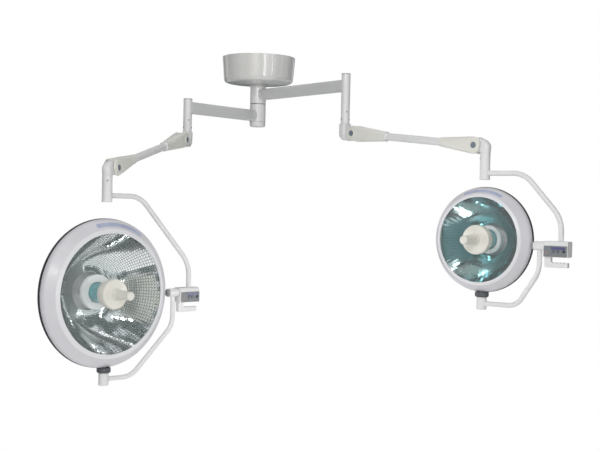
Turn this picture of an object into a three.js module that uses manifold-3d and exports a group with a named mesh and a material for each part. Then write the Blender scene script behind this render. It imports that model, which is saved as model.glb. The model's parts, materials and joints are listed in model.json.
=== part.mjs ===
// A twin-head ceiling surgical light: one ceiling spindle, two extension arms, two balanced spring arms
// and two mirror lamp heads, each hung in a pair of bows with a control box at the side.
// Millimetres, +Z up. The origin is the centre of the ceiling plate's top face, so the light hangs in -Z.
// The small head stands on the +X side and the large head on the -X side, and both face -Y at rest.

import * as THREE from "three";
import { mergeVertices } from "three/addons/utils/BufferGeometryUtils.js";
import Module from "manifold-3d";

const wasm = await Module();
wasm.setup();

// ---------------------------------------------------------------- driving dimensions

const GAP = 0.3; // between neighbouring pieces that touch
const WALL = 3; // sheet and shell thickness
const FINE = 28; // sides of the large turned parts
const ROUND = 14; // sides of ordinary turned parts
const COARSE = 8; // sides of small turned parts
const TUBE_SIDES = 8; // sides of bent tubes

const PLATE = { radius: 150, thickness: 12, boltCircle: 120, boltHole: 6, cableHole: 20, cableOffset: 62 };
const CANOPY = { topRadius: 212, bottomRadius: 200, height: 148, edge: 22, hole: 69.6, dish: 8 };
const COLLAR = { radius: 69, innerRadius: 49, top: -134, shelf: 6, bottom: -158 };
const HUB = { radius: 46, bore: 31, seam: -270, washer: 3, capTop: -374, bottom: -402, rounding: 10 };
const SPINDLE = { radius: 30, bore: 20, flangeRadius: 80, flange: 12 };

const ARM = { halfHeight: 32.5, halfWidth: 23.5, corner: 20, wall: 4 };
const DROP = { radius: 23.5, wall: 4.5, capThickness: 14, dome: 7 };
const PIVOT = { offset: 70, collar: 24.4, lobe: 36, halfWidth: 20, pin: 8, pinReach: 25.5, cheek: 4, cheekLobe: 22 };
const SPRING_ARM = { length: 750, tube: 19, wall: 2.5, forkStart: 42, forkEnd: 92, spring: 14, springWire: 4 };
const COVER = { length: 207, pivotHalfHeight: 43, halfWidth: 33, tail: 31, cavity: 38, slot: 22, clearance: 0.7 };
const COVER_END = { rear: 24.5, front: 22.5 };
const ELBOW = { offset: 47, seam: -38, crown: 35 };
const YOKE = { postRadius: 24.3, postBottom: -165, bowHeight: -133.7, tube: 12.2, bend: 60, spigot: 14, socket: 30 };
const BOX = { start: 317, length: 117, back: 29, front: 27, top: 24, bottom: -49, corner: 6 };
const PANEL = { margin: 3, bottom: -47, top: 3, thickness: 3, pocket: 8 };
const BUTTON = { radius: 6.5, clearance: 0.6, foot: 22.5, proud: 33.5, height: -22, places: [50, 70, 100] };
const GRIP = { postLength: 30, bottom: -97, barTop: -72, length: 112, halfWidth: 12, waves: 4, wave: 2.2 };
const BOW = { sleeve: 21, sleeveIn: 27, shaft: 11, shaftReach: 28, tube: 11.5, bend: 45, runBelowRim: 55 };
const POST = { radius: 23.6, below: 84, top: 24, spigot: 9, spigotDepth: 16, collar: 33 };
const HEAD = { rimBack: -22, rim: 14, opening: 0.81, face: 60, shoulder: 0.87, shoulderFace: 52 };
const GASKET = { thickness: 18, height: 14, inset: 0.5 };
const GLASS = { front: 50, thickness: 5, hole: 41 };
const CENTRE = { radius: 70, front: 84, nose: 93, noseRadius: 30, neck: 40, back: 18, cavity: 54, cavityDepth: 22 };
const HANDLE = { baseRadius: 28, endRadius: 20.5, length: 112, rounding: 9 };
const CARRIER = { filter: 47, filterWall: 3, filterFront: 30, neck: 20, guide: 20.6, bulb: 8, bulbFront: 12 };

// One entry per side. Headings are degrees about +Z from +X; heights are below the ceiling.
const LIGHTS = [
  {
    name: "small",
    hubTop: COLLAR.top - COLLAR.shelf - 4,
    hubBottom: HUB.seam + HUB.washer / 2 + GAP,
    arm: { height: -217, length: 761, heading: -49.7 },
    drop: { top: -150, bottom: -418.5 },
    spring: { pivotHeight: -473, heading: -40.8, droop: 6 },
    yoke: { heading: -35.9, reach: 391, kneeOut: 203, kneeDrop: 209, stubDrop: 469 },
    bow: { reach: 289, kneeDrop: 120, kneeOut: 180 },
    head: { radius: 250, rise: 19, turn: 0, domeDepth: 150, holder: 68, holderBack: -78, mirrorBack: -104 },
  },
  {
    name: "large",
    hubTop: HUB.seam - HUB.washer / 2 - GAP,
    hubBottom: HUB.capTop + GAP,
    arm: { height: -339, length: 573, heading: -128.7 },
    drop: { top: -288, bottom: -470 },
    spring: { pivotHeight: -517.5, heading: -109.3, droop: 14 },
    yoke: { heading: 43.4, reach: 487, kneeOut: 186, kneeDrop: 330, stubDrop: 604 },
    bow: { reach: 392, kneeDrop: 160, kneeOut: 153 },
    head: { radius: 350, rise: 12, turn: 2.6, domeDepth: 185, holder: 84, holderBack: -94, mirrorBack: -138 },
  },
];

// ---------------------------------------------------------------- materials

const FINISHES = {
  paint: { color: 0xe9e9e4, roughness: 0.35, metalness: 0 },
  armPaint: { color: 0xd2d3d1, roughness: 0.4, metalness: 0 },
  cover: { color: 0xe6e8dc, roughness: 0.45, metalness: 0 },
  galvanised: { color: 0x9a9ca0, roughness: 0.5, metalness: 0.8 },
  steel: { color: 0xb8babd, roughness: 0.3, metalness: 1 },
  dark: { color: 0x35373a, roughness: 0.6, metalness: 0 },
  panel: { color: 0x6f7788, roughness: 0.5, metalness: 0 },
  button: { color: 0xd8dade, roughness: 0.4, metalness: 0 },
  ivory: { color: 0xf1efe6, roughness: 0.4, metalness: 0 },
  mirror: { color: 0xc9d2cc, roughness: 0.06, metalness: 1 },
  glass: { color: 0xdfeeea, roughness: 0.02, metalness: 0 },
  filter: { color: 0x5fb7ac, roughness: 0.05, metalness: 0 },
};

// ---------------------------------------------------------------- solids from three.js geometry

// A closed geometry as a solid whose faces point out.
function toSolid(geometry) {
  const bare = geometry.clone();
  bare.deleteAttribute("normal");
  bare.deleteAttribute("uv");
  const merged = mergeVertices(bare, 1e-3);
  const vertProperties = new Float32Array(merged.attributes.position.array);
  const triVerts = new Uint32Array(merged.index.array);
  const solid = new wasm.Manifold(new wasm.Mesh({ numProp: 3, vertProperties, triVerts }));
  if (solid.volume() > 0) return solid;
  for (let i = 0; i < triVerts.length; i += 3) {
    [triVerts[i + 1], triVerts[i + 2]] = [triVerts[i + 2], triVerts[i + 1]];
  }
  return new wasm.Manifold(new wasm.Mesh({ numProp: 3, vertProperties, triVerts }));
}

function toGeometry(solid) {
  const { vertProperties, triVerts } = solid.getMesh();
  const geometry = new THREE.BufferGeometry();
  geometry.setAttribute("position", new THREE.BufferAttribute(vertProperties, 3));
  geometry.setIndex(new THREE.BufferAttribute(triVerts, 1));
  geometry.computeVertexNormals();
  return geometry;
}

function union(...solids) {
  return solids.reduce((sum, solid) => sum.add(solid));
}

function cut(solid, ...tools) {
  return tools.reduce((rest, tool) => rest.subtract(tool), solid);
}

// A turned part about Z from [radius, height] pairs: on the axis at both ends, or a ring's outline.
function turned(profile, sides = ROUND) {
  const onAxis = profile[0][0] === 0 && profile.at(-1)[0] === 0;
  const outline = onAxis ? profile : [...profile, profile[0]];
  const points = outline.map(([radius, height]) => new THREE.Vector2(radius, height));
  return toSolid(new THREE.LatheGeometry(points, sides).rotateX(Math.PI / 2));
}

function rod(radius, low, high, sides = ROUND) {
  return turned([[0, low], [radius, low], [radius, high], [0, high]], sides);
}

// A cutting tool for a round hole that clears a round part of this radius at any angle.
function hole(radius, low, high, sides = ROUND) {
  return rod(radius / Math.cos(Math.PI / sides), low, high, sides);
}

function ring(outer, inner, low, high, sides = ROUND) {
  return turned([[outer, low], [outer, high], [inner, high], [inner, low]], sides);
}

// A Z-axis solid laid along +X, or along -Y, the way a lamp faces.
function alongX(solid) {
  return solid.rotate([0, 90, 0]);
}

function alongFace(solid) {
  return solid.rotate([90, 0, 0]);
}

function block(x, y, z) {
  const size = [x[1] - x[0], y[1] - y[0], z[1] - z[0]];
  const middle = [(x[0] + x[1]) / 2, (y[0] + y[1]) / 2, (z[0] + z[1]) / 2];
  return toSolid(new THREE.BoxGeometry(...size).translate(...middle));
}

// A closed outline whose corners are rounded by the same amount, or by a point's own third number.
function outlineShape(points, corner = 0) {
  const corners = points.map(([x, y]) => new THREE.Vector2(x, y));
  const shape = new THREE.Shape();
  corners.forEach((point, i) => {
    const size = points[i][2] ?? corner;
    const before = corners.at(i - 1).clone().sub(point).setLength(size).add(point);
    const after = corners[(i + 1) % corners.length].clone().sub(point).setLength(size).add(point);
    if (i === 0) shape.moveTo(before.x, before.y);
    else shape.lineTo(before.x, before.y);
    if (size > 0) shape.quadraticCurveTo(point.x, point.y, after.x, after.y);
  });
  shape.closePath();
  return shape;
}

// An outline drawn in the X-Z plane, as wide as y says.
function slabXZ(points, y, corner = 0) {
  const options = { depth: y[1] - y[0], bevelEnabled: false, curveSegments: 3 };
  const geometry = new THREE.ExtrudeGeometry(outlineShape(points, corner), options);
  return toSolid(geometry.rotateX(Math.PI / 2).translate(0, y[1], 0));
}

// An outline drawn in the X-Y plane, as tall as z says.
function slabXY(points, z, corner = 0) {
  const options = { depth: z[1] - z[0], bevelEnabled: false, curveSegments: 3 };
  return toSolid(new THREE.ExtrudeGeometry(outlineShape(points, corner), options).translate(0, 0, z[0]));
}

// An outline drawn in the Y-Z plane, as long as x says.
function slabYZ(points, x, corner = 0) {
  const options = { depth: x[1] - x[0], bevelEnabled: false, curveSegments: 3 };
  const geometry = new THREE.ExtrudeGeometry(outlineShape(points, corner), options);
  const turn = new THREE.Matrix4().makeBasis(
    new THREE.Vector3(0, 1, 0),
    new THREE.Vector3(0, 0, 1),
    new THREE.Vector3(1, 0, 0),
  );
  return toSolid(geometry.applyMatrix4(turn).translate(x[0], 0, 0));
}

// A round tube bent through points of the X-Z plane, with rounded knees.
function bentTube(points, bend, radius) {
  const corners = points.map(([x, z]) => new THREE.Vector3(x, 0, z));
  const path = new THREE.CurvePath();
  let start = corners[0];
  for (let i = 1; i < corners.length - 1; i++) {
    const before = corners[i - 1].clone().sub(corners[i]).setLength(bend).add(corners[i]);
    const after = corners[i + 1].clone().sub(corners[i]).setLength(bend).add(corners[i]);
    path.add(new THREE.LineCurve3(start, before));
    path.add(new THREE.QuadraticBezierCurve3(before, corners[i], after));
    start = after;
  }
  path.add(new THREE.LineCurve3(start, corners.at(-1)));
  const section = new THREE.Shape();
  section.absarc(0, 0, radius, 0, 2 * Math.PI);
  const steps = Math.ceil(path.getLength() / (3.2 * radius));
  const options = { steps, bevelEnabled: false, extrudePath: path, curveSegments: TUBE_SIDES / 2 };
  return toSolid(new THREE.ExtrudeGeometry(section, options));
}

// ---------------------------------------------------------------- scene graph helpers

const light = new THREE.Group();

function place(parent, { position = [0, 0, 0], heading = 0, droop = 0 }) {
  const group = new THREE.Group();
  group.position.set(...position);
  group.rotation.set(0, THREE.MathUtils.degToRad(droop), THREE.MathUtils.degToRad(heading), "ZYX");
  parent.add(group);
  return group;
}

function addPiece(parent, name, solid, finish) {
  const mesh = new THREE.Mesh(toGeometry(solid), new THREE.MeshStandardMaterial(FINISHES[finish]));
  mesh.name = name;
  parent.add(mesh);
}

function polar(length, heading) {
  const angle = THREE.MathUtils.degToRad(heading);
  return [length * Math.cos(angle), length * Math.sin(angle)];
}

// ---------------------------------------------------------------- ceiling mount

function ceilingPlate() {
  const bolts = [45, 135, 225, 315].map((heading) => {
    const [x, y] = polar(PLATE.boltCircle, heading);
    return rod(PLATE.boltHole, -20, 1, COARSE).translate([x, y, 0]);
  });
  const cable = rod(PLATE.cableHole, -20, 1, COARSE).translate([0, PLATE.cableOffset, 0]);
  return cut(rod(PLATE.radius, -PLATE.thickness, 0, FINE), cable, ...bolts);
}

function spindle() {
  const top = -PLATE.thickness - GAP;
  return turned([
    [SPINDLE.flangeRadius, top],
    [SPINDLE.flangeRadius, top - SPINDLE.flange],
    [SPINDLE.radius, top - SPINDLE.flange],
    [SPINDLE.radius, HUB.capTop - GAP],
    [SPINDLE.bore, HUB.capTop - GAP],
    [SPINDLE.bore, top],
  ]);
}

function canopyCover() {
  const { topRadius, bottomRadius, height, edge, hole, dish } = CANOPY;
  return turned(
    [
      [topRadius, -GAP],
      [bottomRadius, edge - height],
      [bottomRadius - edge * 0.3, edge * 0.3 - height],
      [bottomRadius - edge, -height],
      [hole, -height - dish],
      [hole, WALL - height - dish],
      [bottomRadius - edge, WALL - height],
      [bottomRadius - edge * 0.3 - WALL, edge * 0.3 - height + WALL],
      [bottomRadius - WALL, edge - height],
      [topRadius - WALL, -GAP],
    ],
    FINE,
  );
}

function canopyCollar() {
  return turned([
    [COLLAR.radius, COLLAR.top],
    [COLLAR.radius, COLLAR.bottom + 4],
    [COLLAR.radius - 4, COLLAR.bottom],
    [COLLAR.innerRadius, COLLAR.bottom],
    [COLLAR.innerRadius, COLLAR.top - COLLAR.shelf],
    [SPINDLE.radius + GAP, COLLAR.top - COLLAR.shelf],
    [SPINDLE.radius + GAP, COLLAR.top],
  ]);
}

function hubEndCap() {
  const lip = SPINDLE.bore - GAP;
  return turned([
    [0, HUB.bottom],
    [HUB.radius - HUB.rounding, HUB.bottom],
    [HUB.radius - HUB.rounding * 0.3, HUB.bottom + HUB.rounding * 0.3],
    [HUB.radius, HUB.bottom + HUB.rounding],
    [HUB.radius, HUB.capTop - 2 * GAP],
    [lip, HUB.capTop - 2 * GAP],
    [lip, HUB.capTop + 20],
    [0, HUB.capTop + 20],
  ]);
}

function buildCeilingMount() {
  const half = HUB.washer / 2;
  addPiece(light, "ceiling_plate", ceilingPlate(), "galvanised");
  addPiece(light, "spindle", spindle(), "steel");
  addPiece(light, "canopy_cover", canopyCover(), "paint");
  addPiece(light, "canopy_collar", canopyCollar(), "paint");
  addPiece(light, "hub_washer", ring(HUB.radius - 2, HUB.bore, HUB.seam - half, HUB.seam + half), "dark");
  addPiece(light, "hub_end_cap", hubEndCap(), "paint");
}

// ---------------------------------------------------------------- extension arm and drop tube

// A length of the arm's tall rounded section, drawn in from its outside by an inset.
function armSection(inset, x) {
  const y = ARM.halfWidth - inset;
  const z = ARM.halfHeight - inset;
  return slabYZ([[-y, -z], [y, -z], [y, z], [-y, z]], x, ARM.corner - inset);
}

function extensionArm({ arm, hubTop, hubBottom }) {
  const sleeve = rod(HUB.radius, hubBottom - arm.height, hubTop - arm.height);
  const tube = armSection(0, [0, arm.length - 4]);
  const inside = armSection(ARM.wall, [0, arm.length - DROP.radius - 12]);
  const bore = hole(HUB.bore, hubBottom - arm.height - 1, hubTop - arm.height + 1);
  const seat = hole(DROP.radius + GAP, -90, 90).translate([arm.length, 0, 0]);
  return cut(union(sleeve, tube), inside, bore, seat);
}

function dropTube({ drop }) {
  const inner = DROP.radius - DROP.wall;
  return turned([
    [0, drop.top],
    [DROP.radius * 0.6, drop.top - DROP.dome * 0.25],
    [DROP.radius, drop.top - DROP.dome],
    [DROP.radius, drop.bottom],
    [inner, drop.bottom],
    [inner, drop.top - DROP.capThickness],
    [0, drop.top - DROP.capThickness],
  ]);
}

// ---------------------------------------------------------------- spring arm

function pivotPin() {
  return rod(PIVOT.pin, -PIVOT.pinReach, PIVOT.pinReach, COARSE).rotate([90, 0, 0]);
}

function pivotLobe(radius) {
  return rod(radius, -PIVOT.halfWidth, PIVOT.halfWidth).rotate([90, 0, 0]);
}

// The rear pivot block, in a frame at the pivot: its collar turns on a spigot inside the drop tube.
function knuckle({ drop, spring }) {
  const top = drop.bottom - spring.pivotHeight - GAP;
  const { offset, lobe, halfWidth, collar } = PIVOT;
  const outline = [
    [-offset - collar, top, 0],
    [-offset - collar, -lobe, 44],
    [-4, -lobe, 2],
    [-4, lobe, 2],
    [-offset + collar, lobe + 4, 6],
    [-offset + collar, top, 0],
  ];
  const neck = slabXZ(outline, [-halfWidth, halfWidth]);
  const sleeve = rod(collar, 4, top).translate([-offset, 0, 0]);
  const spigot = rod(DROP.radius - DROP.wall - 0.8, top - 4, top + 60).translate([-offset, 0, 0]);
  return union(neck, sleeve, spigot, pivotLobe(lobe), pivotPin());
}

// One end fork of the spring arm, in a frame at its pivot, with the arm running towards +X.
function fork() {
  const { forkStart, forkEnd, tube } = SPRING_ARM;
  const inner = PIVOT.halfWidth + 1;
  const outer = inner + PIVOT.cheek;
  const outline = [[-2, PIVOT.cheekLobe], [forkEnd, tube - 2], [forkEnd, 2 - tube], [-2, -PIVOT.cheekLobe]];
  const cheeks = slabXZ(outline, [-outer, outer], 5);
  const lobes = rod(PIVOT.cheekLobe, -outer, outer).rotate([90, 0, 0]);
  const slot = block([-60, forkStart], [-inner, inner], [-60, 60]);
  const eye = hole(PIVOT.pin + 0.3, -60, 60, COARSE).rotate([90, 0, 0]);
  return cut(union(cheeks, lobes), slot, eye);
}

function springArmTube() {
  const { length, tube, wall, forkEnd } = SPRING_ARM;
  const start = forkEnd - 6;
  const outside = alongX(rod(tube, start, length - start));
  const bore = alongX(rod(tube - wall, 30, length - 30));
  const far = fork().rotate([0, 0, 180]).translate([length, 0, 0]);
  return cut(union(outside, fork(), far), bore);
}

// A tapered cover over one end of the spring arm, in the same frame as the fork.
function pivotCover(endHalf) {
  const { length, pivotHalfHeight, halfWidth, tail, cavity, slot, clearance } = COVER;
  const inner = PIVOT.halfWidth + 1 + PIVOT.cheek + clearance;
  const side = [
    [-tail, pivotHalfHeight, 38],
    [length, endHalf, 4],
    [length, -endHalf, 4],
    [-tail, -pivotHalfHeight, 38],
  ];
  const plan = [[-tail, -halfWidth], [60, -halfWidth], [length, -endHalf]];
  plan.push([length, endHalf], [60, halfWidth], [-tail, halfWidth]);
  const outside = slabXZ(side, [-60, 60]).intersect(slabXY(plan, [-60, 60], 5));
  const swing = hole(cavity, -inner, inner).rotate([90, 0, 0]);
  const mouth = block([-60, slot], [-inner, inner], [-60, 60]);
  const forkRoom = block([0, SPRING_ARM.forkEnd + 2], [-inner, inner], [-PIVOT.cheekLobe - 1, PIVOT.cheekLobe + 1]);
  const tubeRoom = alongX(hole(SPRING_ARM.tube + GAP, 60, length + 10));
  return cut(outside, swing, mouth, forkRoom, tubeRoom);
}

function balanceSpring() {
  const { length, forkEnd, spring, springWire } = SPRING_ARM;
  return alongX(ring(spring, spring - springWire, forkEnd + 30, length - forkEnd - 60, COARSE));
}

// The front pivot block, level at all times, with a socket for the yoke's spigot.
function elbow() {
  const { offset, seam, crown } = ELBOW;
  const radius = YOKE.postRadius;
  const outline = [
    [4, PIVOT.lobe, 2],
    [offset + radius, crown, 36],
    [offset + radius, seam, 0],
    [offset - radius, seam, 0],
    [4, -PIVOT.lobe, 2],
  ];
  const body = slabXZ(outline, [-PIVOT.halfWidth, PIVOT.halfWidth]);
  const boss = rod(radius, seam, 4).translate([offset, 0, 0]);
  const socket = hole(YOKE.spigot + 0.4, seam - 1, seam + YOKE.socket + 2).translate([offset, 0, 0]);
  return cut(union(body, boss, pivotLobe(PIVOT.lobe), pivotPin()), socket);
}

// ---------------------------------------------------------------- upper yoke and control box

// The yoke's post and its bent tube, in a frame on the post's axis at the front pivot's height.
function upperYoke({ yoke }) {
  const top = ELBOW.seam - GAP;
  const post = turned([
    [0, YOKE.postBottom],
    [YOKE.postRadius - 2, YOKE.postBottom],
    [YOKE.postRadius + 0.6, YOKE.postBottom + 3],
    [YOKE.postRadius, YOKE.postBottom + 12],
    [YOKE.postRadius, top],
    [YOKE.spigot, top],
    [YOKE.spigot, top + YOKE.socket],
    [0, top + YOKE.socket],
  ]);
  const knee = YOKE.bowHeight - yoke.kneeDrop;
  const boxTop = BOX.top - yoke.stubDrop + GAP;
  const tube = bentTube(
    [[8, YOKE.bowHeight], [yoke.kneeOut, YOKE.bowHeight], [yoke.reach, knee], [yoke.reach, boxTop]],
    YOKE.bend,
    YOKE.tube,
  );
  return union(post, tube);
}

function buttonRod(start, place, radius, from, to) {
  return alongFace(rod(radius, from, to, COARSE)).translate([start + place, 0, BUTTON.height]);
}

// The control box, in a frame on the stub shaft's axis, with the shaft entering its inner end.
function controlBox(start) {
  const { length, back, front, top, bottom, corner } = BOX;
  const section = [[back, top], [back, bottom], [-front, bottom], [-front, PANEL.top + 2], [4 - front, top]];
  const shell = slabYZ(section, [start, start + length], corner);
  const bore = alongX(hole(BOW.shaft + 0.4, start - 1, start + BOW.shaftReach + 2, COARSE));
  const pockets = BUTTON.places.map((place) =>
    buttonRod(start, place, BUTTON.radius + BUTTON.clearance, front - PANEL.pocket, front + 1),
  );
  return cut(shell, bore, ...pockets);
}

function controlPanel(start) {
  const { margin, bottom, top, thickness } = PANEL;
  const face = -BOX.front - GAP;
  const from = start + margin;
  const to = start + BOX.length - margin;
  const outline = [[from, bottom], [to, bottom], [to, top], [from, top]];
  const plate = slabXZ(outline, [face - thickness, face], 4);
  const holes = BUTTON.places.map((place) => buttonRod(start, place, BUTTON.radius + BUTTON.clearance, 0, 60));
  return cut(plate, ...holes);
}

function button(start, place) {
  return buttonRod(start, place, BUTTON.radius, BUTTON.foot, BUTTON.proud);
}

// An L-shaped hand grip below the control box, with finger waves on its bar.
function grip(start) {
  const { postLength, bottom, barTop, length, halfWidth, waves, wave } = GRIP;
  const top = BOX.bottom - GAP;
  const outline = [[start, top], [start, bottom + 6], [start + 6, bottom], [start + length - 6, bottom]];
  outline.push([start + length, bottom + 6], [start + length, barTop - 4]);
  const span = length - postLength - 6;
  const steps = waves * 6;
  for (let i = 0; i <= steps; i++) {
    const x = start + length - 4 - (span * i) / steps;
    outline.push([x, barTop - wave + wave * Math.cos((2 * Math.PI * waves * i) / steps)]);
  }
  outline.push([start + postLength, barTop + 6], [start + postLength, top]);
  return slabXZ(outline, [-halfWidth, halfWidth]);
}

// ---------------------------------------------------------------- lower bow

// The lower bow hangs on the stub shaft and carries the head's post, in a frame on the shaft's axis
// where it crosses the post's axis.
function lowerBow({ bow, head }) {
  const rim = head.rise - head.radius;
  const run = rim - BOW.runBelowRim;
  const sleeve = alongX(rod(BOW.sleeve, bow.reach - BOW.sleeveIn, BOX.start + bowShift(bow) - GAP));
  const shaftEnd = BOX.start + bowShift(bow) + BOW.shaftReach;
  const shaft = alongX(rod(BOW.shaft, bow.reach, shaftEnd, COARSE));
  const tube = bentTube([[bow.reach, -6], [bow.reach, -bow.kneeDrop], [bow.kneeOut, run], [6, run]], BOW.bend, BOW.tube);
  const post = turned([
    [0, rim - POST.below],
    [POST.radius - 5, rim - POST.below],
    [POST.radius, rim - POST.below + 5],
    [POST.radius, rim - POST.top - GAP],
    [POST.spigot, rim - POST.top - GAP],
    [POST.spigot, rim + POST.spigotDepth],
    [0, rim + POST.spigotDepth],
  ]);
  return union(sleeve, shaft, tube, post);
}

// How far a side's control box sits beyond the small side's, along its stub shaft.
function bowShift(bow) {
  return bow.reach - LIGHTS[0].bow.reach;
}

// ---------------------------------------------------------------- lamp head

// All the head's turned parts are drawn about Z with +Z forwards, then laid along the lamp's axis.

function headCollar(head) {
  const { collar, spigot, top } = POST;
  const low = -head.radius - top;
  const high = -head.radius - GAP;
  return cut(rod(collar, low, high), hole(spigot + 0.4, low - 1, high + 1, ROUND));
}

function rearDome(head) {
  const { radius, domeDepth } = head;
  const edge = radius - 4;
  const curve = [0.35, 0.66, 0.88];
  const outer = curve.map((share) => [edge * share, HEAD.rimBack - domeDepth * (1 - share ** 2.4)]);
  const inner = curve.map((share) => [(edge - WALL) * share, HEAD.rimBack - (domeDepth - WALL) * (1 - share ** 2.4)]);
  const shell = turned(
    [
      [0, HEAD.rimBack - domeDepth],
      ...outer,
      [edge, HEAD.rimBack],
      [edge - WALL, HEAD.rimBack],
      ...inner.reverse(),
      [0, HEAD.rimBack - domeDepth + WALL],
    ],
    FINE,
  );
  const apex = HEAD.rimBack - domeDepth;
  const guide = cut(rod(CARRIER.guide + 4, apex + 2, apex + 26), hole(CARRIER.guide, apex + 8, apex + 30));
  return alongFace(union(shell, guide));
}

// The front casting, with a socket inside its rim that turns on the lower bow's spigot.
function bezel(head) {
  const { radius } = head;
  const back = HEAD.rimBack + GASKET.thickness + 2 * GAP;
  const opening = radius * HEAD.opening;
  const shoulder = radius * HEAD.shoulder;
  const shell = turned(
    [
      [radius, back],
      [radius, HEAD.rim],
      [shoulder, HEAD.shoulderFace],
      [opening, HEAD.face],
      [opening, HEAD.face - WALL],
      [shoulder - WALL, HEAD.shoulderFace - WALL],
      [radius - WALL, HEAD.rim - WALL],
      [radius - WALL, back],
    ],
    FINE,
  );
  const socket = rod(POST.spigot + 5, -radius + 1, -radius + POST.spigotDepth + 6, COARSE);
  const spigotRoom = hole(POST.spigot + 0.4, -radius - 5, -radius + POST.spigotDepth + 1);
  const trim = block([-60, 60], [-60, 60], [-radius - 40, -radius + 0.5]);
  return cut(union(alongFace(shell), cut(socket, trim)), spigotRoom);
}

// A wide rubber seal behind the casting, notched round the post's socket.
function gasket(head) {
  const back = HEAD.rimBack + GAP;
  const outer = head.radius - GASKET.inset;
  const seal = alongFace(ring(outer, outer - GASKET.height, back, back + GASKET.thickness, FINE));
  return cut(seal, hole(POST.spigot + 5 + GAP, -head.radius - 5, GASKET.height * 2 - head.radius, COARSE));
}

function reflector(head) {
  const inner = head.holder + 8;
  const outer = head.radius * 0.86;
  const back = head.mirrorBack;
  const front = HEAD.shoulderFace - 22;
  const rings = 4;
  const mirrorSide = [];
  for (let i = 0; i <= rings; i++) {
    const share = i / rings;
    mirrorSide.push([inner + (outer - inner) * share, back + (front - back) * share ** 1.9]);
  }
  const rearSide = mirrorSide.map(([radius, height]) => [radius + 1.2, height - WALL]).reverse();
  return alongFace(turned([...mirrorSide, ...rearSide], FINE));
}

function frontGlass(head) {
  const outer = head.radius * HEAD.opening + 8;
  return alongFace(ring(outer, GLASS.hole, GLASS.front - GLASS.thickness, GLASS.front, FINE));
}

function centreHousing() {
  const { radius, front, nose, noseRadius, neck, back, cavity, cavityDepth } = CENTRE;
  const glassFront = GLASS.front + GAP;
  const glassBack = GLASS.front - GLASS.thickness - GAP;
  return alongFace(
    turned([
      [0, nose],
      [noseRadius, nose],
      [radius - 6, front + 2],
      [radius, front - 4],
      [radius, glassFront],
      [neck, glassFront],
      [neck, glassBack],
      [cavity + 5, glassBack],
      [cavity + 5, back],
      [cavity, back],
      [cavity, back + cavityDepth],
      [0, back + cavityDepth],
    ]),
  );
}

function handle() {
  const { baseRadius, endRadius, length, rounding } = HANDLE;
  const start = CENTRE.nose + GAP;
  const end = start + length;
  return alongFace(
    turned([
      [0, start],
      [baseRadius, start],
      [baseRadius, start + 10],
      [baseRadius - 3, start + 14],
      [endRadius, end - rounding],
      [endRadius - rounding * 0.3, end - rounding * 0.3],
      [endRadius - rounding, end],
      [0, end],
    ]),
  );
}

// The bulb carrier slides in the dome's guide when the handle is turned, and so focuses the beam.
function lampHolder(head) {
  const { neck, filter } = CARRIER;
  const apex = HEAD.rimBack - head.domeDepth;
  const { holder, holderBack } = head;
  return alongFace(
    turned([
      [0, apex + 16],
      [neck, apex + 16],
      [neck, holderBack - 10],
      [holder - 10, holderBack],
      [holder, holderBack + 6],
      [holder, holderBack + 32],
      [filter + 2, holderBack + 32],
      [filter + 2, holderBack + 22],
      [10, holderBack + 22],
      [10, holderBack + 52],
      [0, holderBack + 52],
    ]),
  );
}

function filterGlass(head) {
  const { filter, filterWall, filterFront } = CARRIER;
  return alongFace(ring(filter, filter - filterWall, head.holderBack + 22 + GAP, filterFront));
}

function bulb(head) {
  const start = head.holderBack + 52 + GAP;
  return alongFace(
    turned(
      [
        [0, start],
        [CARRIER.bulb, start],
        [CARRIER.bulb, CARRIER.bulbFront - 6],
        [CARRIER.bulb * 0.6, CARRIER.bulbFront - 1],
        [0, CARRIER.bulbFront],
      ],
      COARSE,
    ),
  );
}

// ---------------------------------------------------------------- one side of the light

function buildArm(spec) {
  const { name, arm } = spec;
  const frame = place(light, { position: [0, 0, arm.height], heading: arm.heading });
  addPiece(frame, `${name}_extension_arm`, extensionArm(spec), "armPaint");
  const end = place(light, { position: [...polar(arm.length, arm.heading), 0] });
  addPiece(end, `${name}_drop_tube`, dropTube(spec), "paint");
}

function buildSpringArm(spec) {
  const { name, arm, spring } = spec;
  const position = [...polar(arm.length, arm.heading), spring.pivotHeight];
  const swivel = place(light, { position, heading: spring.heading });
  const rearPivot = place(swivel, { position: [PIVOT.offset, 0, 0] });
  addPiece(rearPivot, `${name}_knuckle`, knuckle(spec), "paint");

  const beam = place(rearPivot, { droop: spring.droop });
  const frontCover = pivotCover(COVER_END.front).rotate([0, 0, 180]).translate([SPRING_ARM.length, 0, 0]);
  addPiece(beam, `${name}_spring_arm_tube`, springArmTube(), "paint");
  addPiece(beam, `${name}_balance_spring`, balanceSpring(), "steel");
  addPiece(beam, `${name}_rear_cover`, pivotCover(COVER_END.rear), "cover");
  addPiece(beam, `${name}_front_cover`, frontCover, "cover");

  const frontPivot = place(beam, { position: [SPRING_ARM.length, 0, 0], droop: -spring.droop });
  addPiece(frontPivot, `${name}_elbow`, elbow(), "paint");
  return place(frontPivot, { position: [ELBOW.offset, 0, 0], heading: spec.yoke.heading - spring.heading });
}

function buildYoke(spec, frame) {
  const { name, yoke, bow } = spec;
  addPiece(frame, `${name}_upper_yoke`, upperYoke(spec), "paint");
  const stub = place(frame, { position: [0, 0, -yoke.stubDrop] });
  const start = BOX.start + bowShift(bow);
  addPiece(stub, `${name}_control_box`, controlBox(start), "paint");
  addPiece(stub, `${name}_control_panel`, controlPanel(start), "panel");
  addPiece(stub, `${name}_grip`, grip(start), "paint");
  BUTTON.places.forEach((place, i) => {
    addPiece(stub, `${name}_button_${i + 1}`, button(start, place), "button");
  });
  addPiece(stub, `${name}_lower_bow`, lowerBow(spec), "paint");
  return stub;
}

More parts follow.
